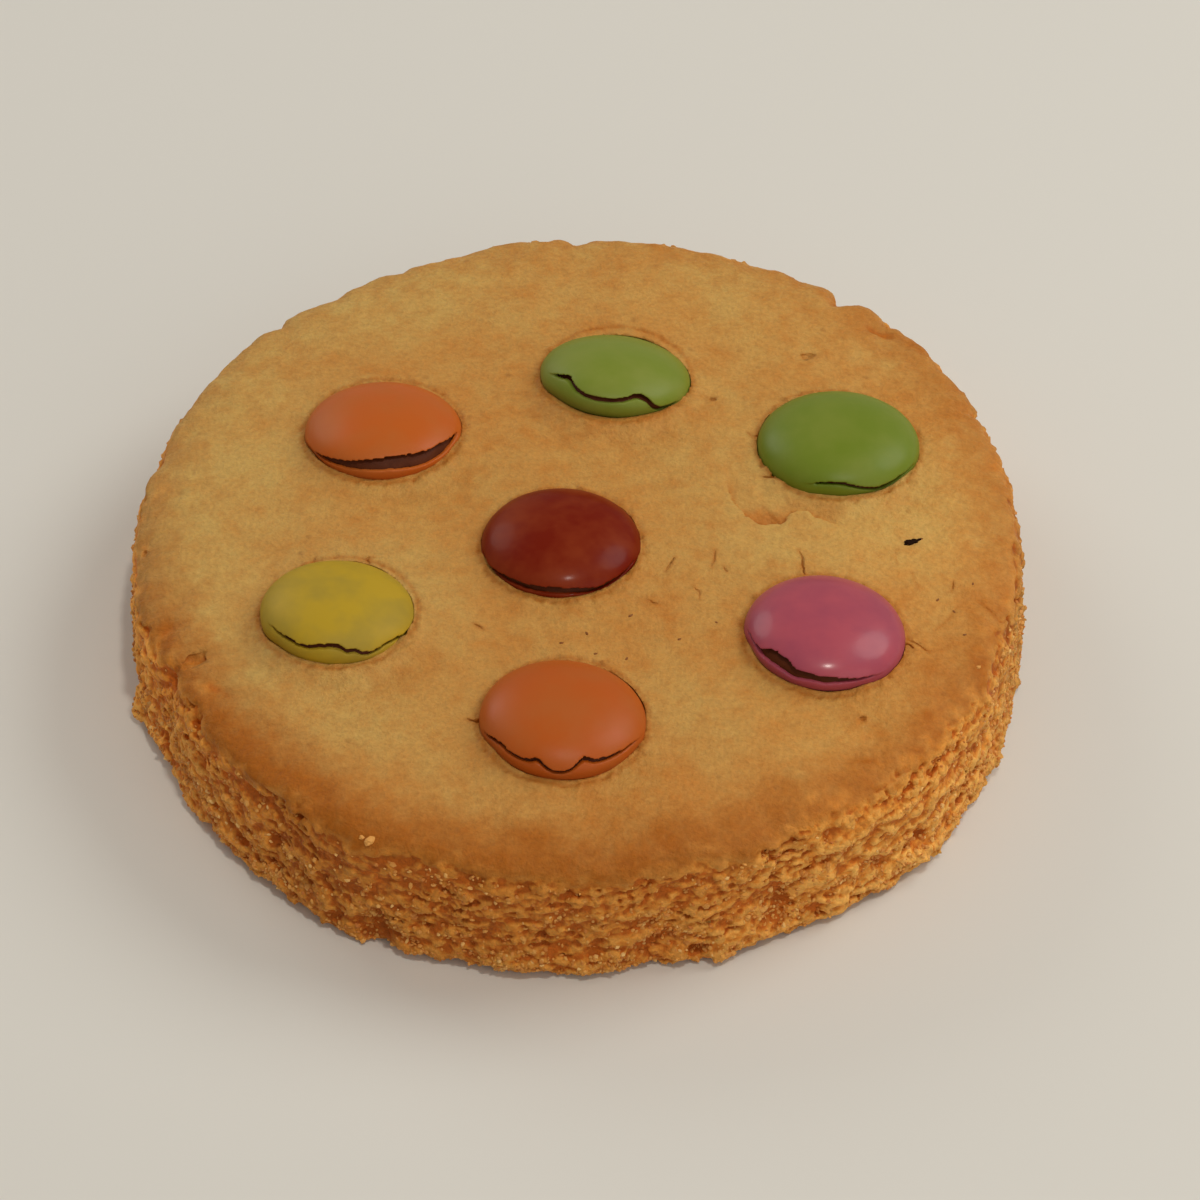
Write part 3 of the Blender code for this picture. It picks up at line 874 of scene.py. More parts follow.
        set_inputs(shader, {
            "Roughness": self.skin_roughness, "Specular IOR Level": self.specular,
            "Subsurface Weight": 0.08, "Subsurface Radius": (1.0, 0.5, 0.2),
            "Subsurface Scale": self.glow_depth * MM})
        return made


@dataclass(frozen=True)
class SugarShellFinish:
    """Panned sugar shell: many thin polished coats of coloured syrup, satin after baking."""

    name: str
    colour: str
    faded: str
    roughness: float = 0.40
    specular: float = 0.20
    polish: float = 0.0
    blotch_size: float = 4.2
    peel_size: float = 0.9
    peel_height: float = 0.05
    smoother: float = 0.05
    duller: float = 0.08
    glow_depth: float = 0.6

    def build(self) -> bpy.types.Material:
        """Make the material.

        Returns:
            The shell material, mottled where the coats have taken up moisture.
        """
        made, tree, shader = new_material(self.name)
        place = put(tree, "ShaderNodeTexCoord").outputs["Object"]
        blotch = put(tree, "ShaderNodeTexNoise", None, {
            "Vector": place, "Scale": per_mm(self.blotch_size), "Detail": 3.0, "Roughness": 0.55})
        peel = put(tree, "ShaderNodeTexNoise", None, {
            "Vector": place, "Scale": per_mm(self.peel_size), "Detail": 3.0, "Roughness": 0.6})
        share = put(tree, "ShaderNodeMapRange", None, {
            "Value": blotch.outputs["Fac"], "From Min": 0.40, "From Max": 0.66})
        colour = put(tree, "ShaderNodeMix", {"data_type": "RGBA"}, {
            "Factor": share.outputs["Result"],
            6: linear_colour(self.colour), 7: linear_colour(self.faded)})
        tree.links.new(colour.outputs[2], shader.inputs["Base Color"])
        rough = put(tree, "ShaderNodeMapRange", None, {
            "Value": blotch.outputs["Fac"], "From Min": 0.3, "From Max": 0.7,
            "To Min": self.roughness - self.smoother, "To Max": self.roughness + self.duller})
        tree.links.new(rough.outputs["Result"], shader.inputs["Roughness"])
        bump = put(tree, "ShaderNodeBump", None, {
            "Height": peel.outputs["Fac"], "Distance": self.peel_height * MM, "Strength": 0.25})
        tree.links.new(bump.outputs["Normal"], shader.inputs["Normal"])
        set_inputs(shader, {
            "Specular IOR Level": self.specular, "Coat Weight": self.polish, "Coat Roughness": 0.17,
            "Subsurface Weight": 0.05, "Subsurface Radius": (1.0, 0.6, 0.4),
            "Subsurface Scale": self.glow_depth * MM})
        return made


@dataclass(frozen=True)
class PlainFoodFinish:
    """A one coloured food surface with uneven tone, such as chocolate or sugar."""

    name: str
    colour: str
    other: str
    roughness: float
    tone_size: float
    bump_height: float
    specular: float = 0.5

    def build(self) -> bpy.types.Material:
        """Make the material.

        Returns:
            The material, whose tone and relief follow one noise.
        """
        made, tree, shader = new_material(self.name)
        place = put(tree, "ShaderNodeTexCoord").outputs["Object"]
        tone = put(tree, "ShaderNodeTexNoise", None, {
            "Vector": place, "Scale": per_mm(self.tone_size), "Detail": 4.0, "Roughness": 0.6})
        colour = put(tree, "ShaderNodeMix", {"data_type": "RGBA"}, {
            "Factor": tone.outputs["Fac"],
            6: linear_colour(self.colour), 7: linear_colour(self.other)})
        tree.links.new(colour.outputs[2], shader.inputs["Base Color"])
        bump = put(tree, "ShaderNodeBump", None, {
            "Height": tone.outputs["Fac"], "Distance": self.bump_height * MM, "Strength": 0.6})
        tree.links.new(bump.outputs["Normal"], shader.inputs["Normal"])
        set_inputs(shader, {"Roughness": self.roughness, "Specular IOR Level": self.specular})
        return made


@dataclass(frozen=True)
class GrainFinish:
    """Grains of baked dough: each one its own tone from cream to brown."""

    name: str = "baked_dough_grains"
    pale: str = "#e2a851"
    deep: str = "#c27325"
    sugar: str = "#edc278"
    roughness: float = 0.65

    def build(self) -> bpy.types.Material:
        """Make the material.

        Returns:
            The material, which reads each grain's tint attribute.
        """
        made, tree, shader = new_material(self.name)
        tint = put(tree, "ShaderNodeAttribute", {"attribute_name": "tint"}).outputs["Fac"]
        colour = put(tree, "ShaderNodeMix", {"data_type": "RGBA"}, {
            "Factor": tint, 6: linear_colour(self.deep), 7: linear_colour(self.pale)})
        crystal = put(tree, "ShaderNodeMapRange", None, {
            "Value": tint, "From Min": 0.88, "From Max": 1.0, "To Max": 0.9})
        sugared = put(tree, "ShaderNodeMix", {"data_type": "RGBA"}, {
            "Factor": crystal.outputs["Result"], 6: colour.outputs[2], 7: linear_colour(self.sugar)})
        tree.links.new(sugared.outputs[2], shader.inputs["Base Color"])
        shader.inputs["Roughness"].default_value = self.roughness
        return made


@dataclass
class Sweet:
    """One sugar shelled chocolate lentil, cracked by the heat of the oven."""

    key: str
    finish: bpy.types.Material
    chocolate: bpy.types.Material
    shell_trim: float = 0.08
    shell_wall: float = 0.50
    core_inset: float = 0.62
    setback: float = 0.38
    widen: float = 0.13
    segments: int = 96
    rings: int = 48
    voxel_size: float = 0.10
    kept_share: float = 0.20
    smoothings: int = 6
    hollow_steps: tuple[int, int] = (64, 32)
    core_steps: tuple[int, int] = (72, 36)
    core_wobble: float = 0.22
    core_relief: float = 0.09
    crack_step: float = 1.5
    crack_outside: float = 0.7
    crack_inside: float = 1.2
    wobble: float = 0.05
    jag: float = 0.05
    pieces: list[bpy.types.Object] = field(default_factory=list)

    @property
    def radius(self) -> float:
        """Return the sweet's radius."""
        return SWEETS[self.key][5]

    @property
    def seed(self) -> float:
        """Return a noise shift of the sweet's own."""
        return 11.0 * (1 + list(SWEETS).index(self.key))

    def turn(self) -> Quaternion:
        """Work out the sweet's lean.

        Returns:
            The lean as a rotation.
        """
        _, _, _, lean_x, lean_y, _ = SWEETS[self.key]
        upright = Vector((sin(radians(lean_x)), sin(radians(lean_y)), 1.0))
        return Vector((0.0, 0.0, 1.0)).rotation_difference(upright)

    def middle(self) -> Vector:
        """Return the sweet's middle in millimetres."""
        x, y, z, _, _, _ = SWEETS[self.key]
        return Vector((x + CENTRE_SHIFT[0], y + CENTRE_SHIFT[1], z))

    def set_in_place(self, piece: bpy.types.Object) -> None:
        """Move a piece modelled round the origin to the sweet's place in the biscuit."""
        turn = np.array(self.turn().to_matrix())
        set_coordinates(piece.data, coordinates(piece.data) @ turn.T + np.array(self.middle()))

    def lentil(
        self, name: str, grow: float, wobble: float, steps: tuple[int, int], level: float = 1.2
    ) -> bpy.types.Object:
        """Model one lentil shape round the origin.

        Args:
            name: The new object's name.
            grow: How much larger than the shell it is, all round.
            wobble: The height of its uneven waves.
            steps: Segments round it and rings from pole to pole.
            level: How far the waves lie under the even surface, in wave heights.

        Returns:
            The closed lentil.
        """
        deselect()
        bpy.ops.mesh.primitive_uv_sphere_add(segments=steps[0], ring_count=steps[1], radius=MM)
        made = bpy.context.object
        made.name = name
        points = coordinates(made.data)
        flat = np.hypot(points[:, 0], points[:, 1])
        reach = (self.radius + grow) * np.power(np.clip(flat, 0.0, 1.0), SIDE_POWER)
        scale = np.where(flat > 1e-6, reach / np.maximum(flat, 1e-6), 0.0)
        shaped = np.column_stack((
            points[:, 0] * scale, points[:, 1] * scale, points[:, 2] * (HALF_THICKNESS + grow)))
        waves = ripple(shaped, (4.5, 4.5, 4.5), self.seed)
        waves += 0.5 * ripple(shaped, (1.9, 1.9, 1.9), self.seed)
        shaped *= (1.0 + (waves - level) * wobble / self.radius)[:, None]
        set_coordinates(made.data, shaped)
        return made

    def reach(self, height: float) -> float:
        """Return the shell's radius at a height over its widest level."""
        return self.radius * max(0.0, 1.0 - (height / HALF_THICKNESS) ** 2) ** (SIDE_POWER / 2.0)

    def crack_tool(self) -> bpy.types.Object:
        """Model the ragged wedge that opens the shell.

        Returns:
            The closed wedge, round the origin.
        """
        keys = np.array(CRACKS[self.key])
        angles = np.arange(keys[0, 0], keys[-1, 0] + 0.5, self.crack_step)
        uppers = np.interp(angles, keys[:, 0], keys[:, 1])
        gaps = np.interp(angles, keys[:, 0], keys[:, 2])
        gaps += self.widen * np.clip(gaps / 0.25, 0.0, 1.0)
        sections = []
        for angle, upper, gap in zip(angles, uppers, gaps):
            bite = self.jag * noise.noise((angle * 0.21, self.seed, 0.0))
            bite += 0.4 * self.jag * noise.noise((angle * 0.43, self.seed, 4.0))
            other = self.jag * noise.noise((angle * 0.24, self.seed, 9.0))
            top, low = upper + bite, upper - gap + other
            side = radians(angle)
            ring = []
            out, deep = self.crack_outside, -self.crack_inside
            for height, step in ((top, out), (low, out), (low, deep), (top, deep)):
                reach = self.reach(height) + step
                ring.append((reach * cos(side), reach * sin(side), height))
            sections.append(np.array(ring))
        return loft("crack_" + self.key, sections)

    def set_back(self, shell: bpy.types.Object) -> None:
        """Draw the shell under the crack inwards, so that the cap overhangs it.

        Args:
            shell: The shell or its socket, round the origin.
        """
        keys = np.array(CRACKS[self.key], float)
        points = coordinates(shell.data)
        angle = np.degrees(np.arctan2(points[:, 1], points[:, 0]))
        angle = np.where(angle > keys[-1, 0] + 60.0, angle - 360.0, angle)
        middle = np.interp(angle, keys[:, 0], keys[:, 1] - 0.5 * keys[:, 2])
        ends = rise(keys[0, 0] - 6.0, keys[0, 0] + 16.0, angle)
        ends *= 1.0 - rise(keys[-1, 0] - 16.0, keys[-1, 0] + 6.0, angle)
        under = 1.0 - rise(-0.05, 0.05, points[:, 2] - middle)
        reach = np.hypot(points[:, 0], points[:, 1])
        share = self.setback * under * ends * rise(2.0, 5.0, reach) / np.maximum(reach, 1.0)
        points[:, :2] *= (1.0 - share)[:, None]
        set_coordinates(shell.data, points)

    def build_shell(self) -> None:
        """Model the hollow cracked shell and let it stand for its construction node."""
        name = "sugar_shell_" + self.key
        shell = self.lentil(name, -self.shell_trim, self.wobble, (self.segments, self.rings))
        cut_away(shell, self.lentil("hollow", -self.shell_trim - self.shell_wall, 0.0, self.hollow_steps))
        cut_away(shell, self.crack_tool())
        voxel(shell, self.voxel_size)
        apply_step(shell, "SMOOTH", factor=0.5, iterations=self.smoothings)
        self.set_back(shell)
        apply_step(shell, "DECIMATE", ratio=self.kept_share)
        self.set_in_place(shell)
        set_coordinates(shell.data, kept_inside(coordinates(shell.data)))
        smooth_shaded(shell)
        shell.data.materials.clear()
        shell.data.materials.append(self.finish)
        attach(shell, BODY)
        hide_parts("sweet_" + self.key + "_shell")
        self.pieces.append(shell)

    def build_core(self) -> None:
        """Model the rough chocolate that shows in the crack."""
        core = self.lentil("chocolate_" + self.key, -self.core_inset, self.core_wobble, self.core_steps)
        points = coordinates(core.data)
        lumps = self.core_relief * ripple(points, (0.9, 0.9, 0.6), self.seed + 3.0)
        set_coordinates(core.data, points + normals(core.data) * lumps[:, None])
        self.set_in_place(core)
        smooth_shaded(core)
        core.data.materials.clear()
        core.data.materials.append(self.chocolate)
        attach(core, BODY)
        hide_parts("sweet_" + self.key + "_chocolate")
        self.pieces.append(core)

    def build(self) -> None:
        """Model the whole sweet."""
        self.build_shell()
        self.build_core()
        LOG.info("sweet %s: %d pieces", self.key, len(self.pieces))


@dataclass
class Biscuit:
    """The baked body: a smooth crust over a broken, crumbly side."""

    finish: bpy.types.Material
    sweets: list[Sweet]
    round_steps: int = 256
    coarse_voxel: float = 0.5
    fine_voxel: float = 0.235
    crack_voxel: float = 0.085
    crumb_count: int = 5200
    crumb_depth: float = 0.24
    crumb_least: float = 0.18
    crumb_range: float = 0.36
    crumb_stretch: tuple[float, float, float] = (0.95, 1.35, 0.80)
    slit_level: float = 0.17
    wedge_step: float = 0.35
    wedge_jag: float = 0.22
    wedge_top: float = 0.7
    socket_slack: float = 0.0
    socket_wobble: float = 0.22
    socket_steps: tuple[int, int] = (80, 30)
    socket_level: float = 0.6
    ridge_rounds: int = 14
    zone_triangles: tuple[tuple[str, int], ...] = (
        ("under", 2000), ("top", 20000), ("wall", 106000))
    seed: int = 7
    body: bpy.types.Object | None = None

    def edge_offset(self, angle: np.ndarray) -> np.ndarray:
        """Look up the outline of the plan.

        Args:
            angle: Plan angles.

        Returns:
            The edge's offset from a true circle at each angle.
        """
        keys = np.array(OUTLINE, float)
        right = np.clip(np.searchsorted(keys[:, 0], angle, side="right"), 1, len(keys) - 1)
        left = right - 1
        share = (angle - keys[left, 0]) / (keys[right, 0] - keys[left, 0])
        share = share * share * (3.0 - 2.0 * share)
        return keys[left, 1] + (keys[right, 1] - keys[left, 1]) * share

    def plain_wall(self, height: np.ndarray | float) -> np.ndarray:
        """Return the plain radius of the side at heights over the table."""
        side = np.array(PROFILE[:CRUST_START])
        return np.interp(height, side[:, 1], side[:, 0])

    def plain_crust(self, reach: np.ndarray | float) -> np.ndarray:
        """Return the plain height of the crust at distances from the middle."""
        crust = np.array(PROFILE[:CRUST_START - 1:-1])
        return np.interp(reach, crust[:, 0], crust[:, 1])

    def wall_depth(self, angle: np.ndarray, height: np.ndarray) -> np.ndarray:
        """Add up how far the named hollows move the wall inward.

        Args:
            angle: Plan angles.
            height: Heights over the table.

        Returns:
            The depth for each place.
        """
        depth = np.zeros_like(angle)
        for middle, level, width, tall, deep in WALL_FEATURES:
            across = np.radians(turned_from(angle, middle)) * EDGE_RADIUS / width
            depth += deep * np.exp(-across ** 2 - ((height - level) / tall) ** 2)
        return depth

    def notch_depth(self, angle: np.ndarray, height: np.ndarray) -> np.ndarray:
        """Add up how far the notches cut into the edge.

        Args:
            angle: Plan angles.
            height: Heights over the table.

        Returns:
            The depth for each place.
        """
        depth = np.zeros_like(angle)
        for middle, width, deep, low, high in NOTCHES:
            across = turned_from(angle, middle) / width
            window = rise(low - 0.5, low + 2.0, height) * (1.0 - rise(high, high + 1.0, height))
            depth += deep * np.exp(-across ** 2) * window
        return depth

    def top_depth(self, points: np.ndarray) -> np.ndarray:
        """Add up how far the named hollows lower the top crust.

        Args:
            points: Places in millimetres, one row each.

        Returns:
            The depth for each place.
        """
        depth = np.zeros(len(points))
        for *oval, deep in TOP_FEATURES:
            depth += deep * mound(points, *oval)
        return depth

    def crack_paths(self) -> list[tuple[float, float, np.ndarray]]:
        """List the fine cracks and tears of the crust.

        Returns:
            The width, the depth and the points of each.
        """
        paths = [(width, depth, np.array(points, float)) for width, depth, points in TOP_CRACKS]
        for key, angle, length, width, depth in TEARS:
            x, y, _, _, _, radius = SWEETS[key]
            middle = radius + 0.5 * (length - TEAR_OVERLAP)
            stops = ((angle, radius - TEAR_OVERLAP), (angle + TEAR_KINK, middle), (angle, radius + length))
            points = [
                (x + reach * cos(radians(side)), y + reach * sin(radians(side))) for side, reach in stops]
            paths.append((width, depth, np.array(points)))
        return paths

    def crack_distance(self, points: np.ndarray) -> np.ndarray:
        """Measure how far places are from the nearest fine crack.

        Args:
            points: Places in millimetres, one row each.

        Returns:
            The distance on the plan for each place.
        """
        nearest = np.full(len(points), FAR)
        for _, _, line in self.crack_paths():
            for start, stop in zip(line[:-1], line[1:]):
                nearest = np.minimum(nearest, from_line(points, start, stop)[1])
        return nearest

    def scarp_depth(self, points: np.ndarray) -> np.ndarray:
        """Return how far the crust is sunk behind the broken edge.

        Args:
            points: Places in millimetres, one row each.

        Returns:
            The depth for each place, greatest along the edge.
        """
        line = np.array(SCARP)
        nearest = np.full(len(points), FAR)
        depth = np.zeros(len(points))
        jag = 0.25 * ripple(points, (0.8, 0.8, 50.0), 81.0)
        jag += 0.15 * ripple(points, (0.35, 0.35, 50.0), 82.0)
        for start, stop in zip(line[:-1], line[1:]):
            share, reach, side = from_line(points, start[:2], stop[:2])
            inner = np.sign(side) * reach + jag
            drop = (start[2] + (stop[2] - start[2]) * share) * rise(0.0, 0.3, inner)
            fall = drop * np.exp(-np.maximum(inner, 0.0) / SCARP_RUN)
            fall -= SCARP_LIP * drop * np.exp(-(inner / 0.5) ** 2)
            depth = np.where(reach < nearest, fall, depth)
            nearest = np.minimum(reach, nearest)
        return depth

    def collar_height(self, points: np.ndarray) -> np.ndarray:
        """Tell how far the dough is pushed up along the front of the sweets.

        Args:
            points: Places in millimetres, one row each.

        Returns:
            The height for each place.
        """
        height = np.zeros(len(points))
        for key, rise_by in COLLARS.items():
            x, y, _, _, _, radius = SWEETS[key]
            aside, ahead = points[:, 0] - x, points[:, 1] - y
            reach = np.hypot(aside, ahead)
            front = np.clip(-ahead / np.maximum(reach, 0.1) + 0.15, 0.0, 1.0)
            height += rise_by * front * np.exp(-((reach - radius) / 1.4) ** 2)
        return height

    def crag(self, points: np.ndarray) -> np.ndarray:
        """Give the layered roughness of the broken wall.

        Args:
            points: Places in millimetres, one row each.

        Returns:
            How far the wall stands out at each place.
        """
        coarse = ripple(points, (1 / 0.22, 1 / 0.22, 1 / 0.45), 0.0)
        middle = ripple(points + np.array((14.0, 0.0, 0.0)), (2.0, 2.0, 1.5), 0.0)
        fine = ripple(points + np.array((0.0, 3.0, 0.0)), (1.0, 1.0, 0.85), 0.0)
        return 0.46 * coarse + 0.42 * middle + 0.32 * fine

    def blank(self) -> bpy.types.Object:
        """Turn the plain biscuit by extruding a face through the profile.

        Returns:
            The plain closed body with even faces.
        """
        side = np.linspace(0.0, 2.0 * pi, self.round_steps, endpoint=False)
        rings = [
            np.column_stack((r * np.cos(side), r * np.sin(side), np.full(len(side), z))) for r, z in PROFILE
        ]
        body = loft("biscuit_crumb_and_crust", rings)
        voxel(body, self.coarse_voxel)
        return body

    def swell(self, points: np.ndarray) -> np.ndarray:
        """Give the long low waves of the crust.

        Args:
            points: Places in millimetres, one row each. Only X and Y count.

        Returns:
            The height for each place.
        """
        flat = points * (1, 1, 0)
        wave = ripple(flat + np.array((0, 0, 41.67)), (1 / 0.12,) * 3, 0.0)
        wave += 0.4 * ripple(flat + np.array((0, 0, 27.27)), (1 / 0.33,) * 3, 0.0)
        return SWELL_HEIGHT * wave

    def shape(self, body: bpy.types.Object) -> None:
        """Give the blank its outline, notches, hollows and layered wall.

        Args:
            body: The plain body.
        """
        points = coordinates(body.data)
        radius = np.hypot(points[:, 0], points[:, 1])
        angle = plan_angle(points)
        height = points[:, 2].copy()
        wall = (1.0 - rise(CRUST_FOOT - CRUST_BLEND, CRUST_FOOT, height)) * rise(40.5, 42.0, radius)
        bare = (1.0 - rise(12.0, 12.9, self.lip_level(points))) * rise(40.0, 41.5, radius)
        bare *= rise(0.1, 0.7, height)
        grown = radius + self.edge_offset(angle) * rise(20.0, 41.0, radius) * radius / EDGE_RADIUS
        grown -= self.notch_depth(angle, height) * rise(38.0, 41.5, radius)
        grown -= self.wall_depth(angle, height) * rise(38.5, 41.0, radius)
        grown += self.crag(points) * wall - self.crumb_depth * bare
        lifted = self.swell(points) + self.collar_height(points) - self.top_depth(points)
        points[:, 2] += np.where(height > 7.0, lifted * rise(12.0, 13.6, height), 0.0)
        foot = (height < 2.0) & (radius > FOOT_RADIUS + 0.5)
        lift = 0.12 + 0.35 * ripple(points * (1, 1, 0) + np.array((0, 0, 8.0)), (4.0, 4.0, 4.0), 0.0)
        points[:, 2] += np.where(foot, np.maximum(0.0, lift) * (1.0 - rise(0.5, 2.0, height)), 0.0)
        scale = np.where(radius > 0.01, grown / np.maximum(radius, 0.01), 1.0)
        points[:, :2] *= scale[:, None]
        set_coordinates(body.data, points)

    def lip_level(self, points: np.ndarray) -> np.ndarray:
        """Shift the height over the table so that the crust ends raggedly.

        Args:
            points: Places in millimetres, one row each.

        Returns:
            The shifted height for each place.
        """
        wave = 0.9 * ripple(points, (4.5, 4.5, 9.0), 17.0) + 0.4 * ripple(points, (1.5, 1.5, 2.0), 18.0)
        keys = np.array(LIP_DROP)
        return points[:, 2] + wave - np.interp(plan_angle(points), keys[:, 0], keys[:, 1])

    def hollow_share(self, points: np.ndarray) -> np.ndarray:
        """Tell how open the crumb is.

        Args:
            points: Places in millimetres, one row each.

        Returns:
            A value for each place, high in the slits.
        """
        slits = ripple(points, (2.4, 2.4, 0.95), 31.0) + 0.5 * ripple(points, (1.1, 1.1, 0.55), 37.0)
        under_lip = 0.20 * np.exp(-((points[:, 2] - 12.0) / 0.5) ** 2)
        return slits + under_lip

    def fracture(self, points: np.ndarray) -> np.ndarray:
        """Give the fine relief of the broken side.

        Args:
            points: Places in millimetres, one row each.

        Returns:
            The height for each place: short flakes, with slits and pores between them.
        """
        layer = ripple(points, (2.0, 2.0, 1.1), 61.0) + 0.5 * ripple(points, (0.9, 0.9, 0.6), 62.0)
        flakes = (3.0 * layer) % 1.0
        slit = ripple(points, (1.8, 1.8, 0.65), 63.0) + 0.4 * ripple(points, (0.8, 0.8, 0.45), 64.0)
        slit = rise(0.26, 0.44, slit)
        pore = rise(0.34, 0.52, ripple(points, (0.85, 0.85, 0.6), 65.0))
        fine = ripple(points, (0.45, 0.45, 0.35), 66.0)
        broken = 0.15 + 0.85 * rise(-0.20, 0.35, ripple(points, (7.0, 7.0, 3.2), 71.0))
        grit = ripple(points, (1.1, 1.1, 0.85), 67.0)
        return broken * (0.12 * flakes - 0.60 * slit - 0.28 * pore) + 0.16 * grit + 0.14 * fine

    def wall_crumbs(self, draw: np.random.Generator) -> bpy.types.Object:
        """Model the granules of dough that the broken side shows.

        Args:
            draw: The seeded random generator.

        Returns:
            One object that holds all granules, half sunk in the wall.
        """
        angle = draw.uniform(0.0, 360.0, self.crumb_count)
        height = draw.uniform(0.25, 12.7, self.crumb_count)
        size = self.crumb_least + self.crumb_range * draw.beta(*SIZE_SPREAD, self.crumb_count)
        side = np.radians(angle)
        flat = np.column_stack((np.cos(side) * EDGE_RADIUS, np.sin(side) * EDGE_RADIUS, height))
        keep = self.hollow_share(flat) < self.slit_level
        angle, height, size, flat, side = (values[keep] for values in (angle, height, size, flat, side))
        base = self.plain_wall(height)
        reach = base + self.edge_offset(angle) - self.notch_depth(angle, height)
        reach += self.crag(np.column_stack((np.cos(side) * base, np.sin(side) * base, height)))
        sunk = size * draw.uniform(0.1, 1.0, len(size))
        reach -= self.wall_depth(angle, height) + self.crumb_depth + sunk
        places = np.zeros((len(size), 3, 4))
        for i, stretch in enumerate(draw.uniform(0.75, 1.35, (len(size), 3)) * size[:, None]):
            tilt = Quaternion(draw.normal(0.0, 1.0, 3), draw.uniform(0, 0.45))
            spin = Quaternion((0, 0, 1), side[i]) @ tilt
            places[i, :, :3] = np.array(spin.to_matrix()) * stretch * np.array(self.crumb_stretch)
            places[i, :2, 3] = cos(side[i]) * reach[i], sin(side[i]) * reach[i]
            places[i, 2, 3] = max(height[i], 0.8 * size[i])
        return scattered("granules", lump("lump", 2, 0.45, 3.0), places)

    def standing_crumbs(self) -> bpy.types.Object:
        """Model the few crumbs that stand out of the side.

        Returns:
            One object that holds the crumbs.
        """
        places = np.zeros((len(STANDING_CRUMBS), 3, 4))
        for i, (angle, height, out, length, thickness) in enumerate(STANDING_CRUMBS):
            side = radians(angle)
            reach = self.plain_wall(height) + self.edge_offset(np.array([angle]))[0]
            reach += out - length - self.wall_depth(np.array([angle]), np.array([height]))[0]
            spin = Quaternion((0, 0, 1), side) @ Quaternion((0.4, 1.0, 0.2), 0.25)
            places[i, :, :3] = np.array(spin.to_matrix()) * np.array((length, thickness * 1.4, thickness))
            places[i, :, 3] = (cos(side) * reach, sin(side) * reach, height)
        return scattered("standing_crumbs", lump("crumb", 3, 0.6, 5.0), places)

    def roughen(self, body: bpy.types.Object) -> None:
        """Add the grain of the crust and of the broken side.

        Args:
            body: The shaped body.
        """
        points = coordinates(body.data)
        radius = np.hypot(points[:, 0], points[:, 1])
        wall = (1.0 - rise(12.0, 12.7, self.lip_level(points))) * rise(WALL_START, 41.0, radius)
        wall *= rise(0.05, 0.5, points[:, 2])
        skin = 0.05 * ripple(points, (1.3,) * 3, 2.0) + 0.03 * ripple(points, (0.6,) * 3, 3.0)
        puckered = 0.26 * ripple(points, (1.0,) * 3, 5.0) + 0.24 * ripple(points, (0.5,) * 3, 6.0)
        skin += puckered * np.exp(-((self.contact(points) - 0.1) / 0.5) ** 2)
        lumps = 0.20 * ripple(points, (3.0,) * 3, 7.0) + 0.12 * ripple(points, (1.4,) * 3, 9.0)
        skin += lumps * rise(35.0, 40.0, radius)
        lifted = self.fracture(points) * wall + skin * rise(12.0, 13.0, points[:, 2]) * (1.0 - wall)
        moved = points + normals(body.data) * lifted[:, None]
        moved[:, 2] -= np.where(points[:, 2] > 12.0, self.scarp_depth(points), 0.0)
        low = points[:, 2] < 0.02
        moved[low] = points[low]
        moved[:, 2] = np.maximum(moved[:, 2], 0.0)
        set_coordinates(body.data, moved)

    def contact(self, points: np.ndarray) -> np.ndarray:
        """Measure how far places are from the edge of the nearest sweet.

        Args:
            points: Places in millimetres, one row each.

        Returns:
            The distance on the plan, below 0 inside the sweet.
        """
        nearest = np.full(len(points), FAR)
        for x, y, _, _, _, around in SWEETS.values():
            away = np.hypot(points[:, 0] - x, points[:, 1] - y) - around
            nearest = np.where(np.abs(away) < np.abs(nearest), away, nearest)
        return nearest

    def in_zone(self, centres: np.ndarray, zone: str) -> np.ndarray:
        """Tell which faces lie in a zone that may use fewer faces.

        Args:
            centres: The middles of the faces in millimetres.
            zone: The zone's name.

        Returns:
            True for each face in the zone. The crust beside sweets, cracks and the broken edge
            is in none.
        """
        reach = np.hypot(centres[:, 0], centres[:, 1])
        under = (centres[:, 2] < 0.05) & (reach < 40.0)
        top = (centres[:, 2] > 12.5) & (reach < 39.5)
        if zone == "under":
            return under
        if zone == "wall":
            return ~under & ~top
        line = np.array(SCARP)
        beside = (centres[:, 0] > line[:, 0].min() - 0.8) & (centres[:, 0] < line[:, 0].max() + 0.5)
        beside &= (centres[:, 1] > line[:, 1].min() - 0.8) & (centres[:, 1] < line[:, 1].max() + 0.8)
        whole = (np.abs(self.contact(centres) - 0.3) > 0.9) & (self.crack_distance(centres) > 0.6)
        return top & ~beside & whole

    def thin_out(self, body: bpy.types.Object) -> None:
        """Use fewer faces on the flat underside, on the smooth top and last on the side.

        Args:
            body: The roughened body.
        """
        for zone, wanted in self.zone_triangles:
            chosen = self.in_zone(face_values(body.data, "center", 3) / MM, zone)
            only(body)
            bpy.ops.object.mode_set(mode="EDIT")
            bpy.ops.mesh.select_all(action="DESELECT")
            work = bmesh.from_edit_mesh(body.data)
            held = 0
            for face, inside in zip(work.faces, chosen.tolist()):
                face.select = inside
                held += (len(face.verts) - 2) * inside
            bmesh.update_edit_mesh(body.data)
            bpy.ops.mesh.decimate(ratio=min(1.0, wanted / held))
            bpy.ops.object.mode_set(mode="OBJECT")

    def cracks(self) -> bpy.types.Object:
        """Model the thin wedges that open the fine cracks and tears of the crust.

        Returns:
            One object that holds all wedges.
        """
        made = []
        for number, (width, depth, points) in enumerate(self.crack_paths()):
            made.append(self.crack_wedge(number, width, depth, points))
        for number, crater in enumerate(CRATERS):
            made.append(self.crater_lump(number, *crater))
        tool = join(made)
        voxel(tool, self.crack_voxel)
        return tool

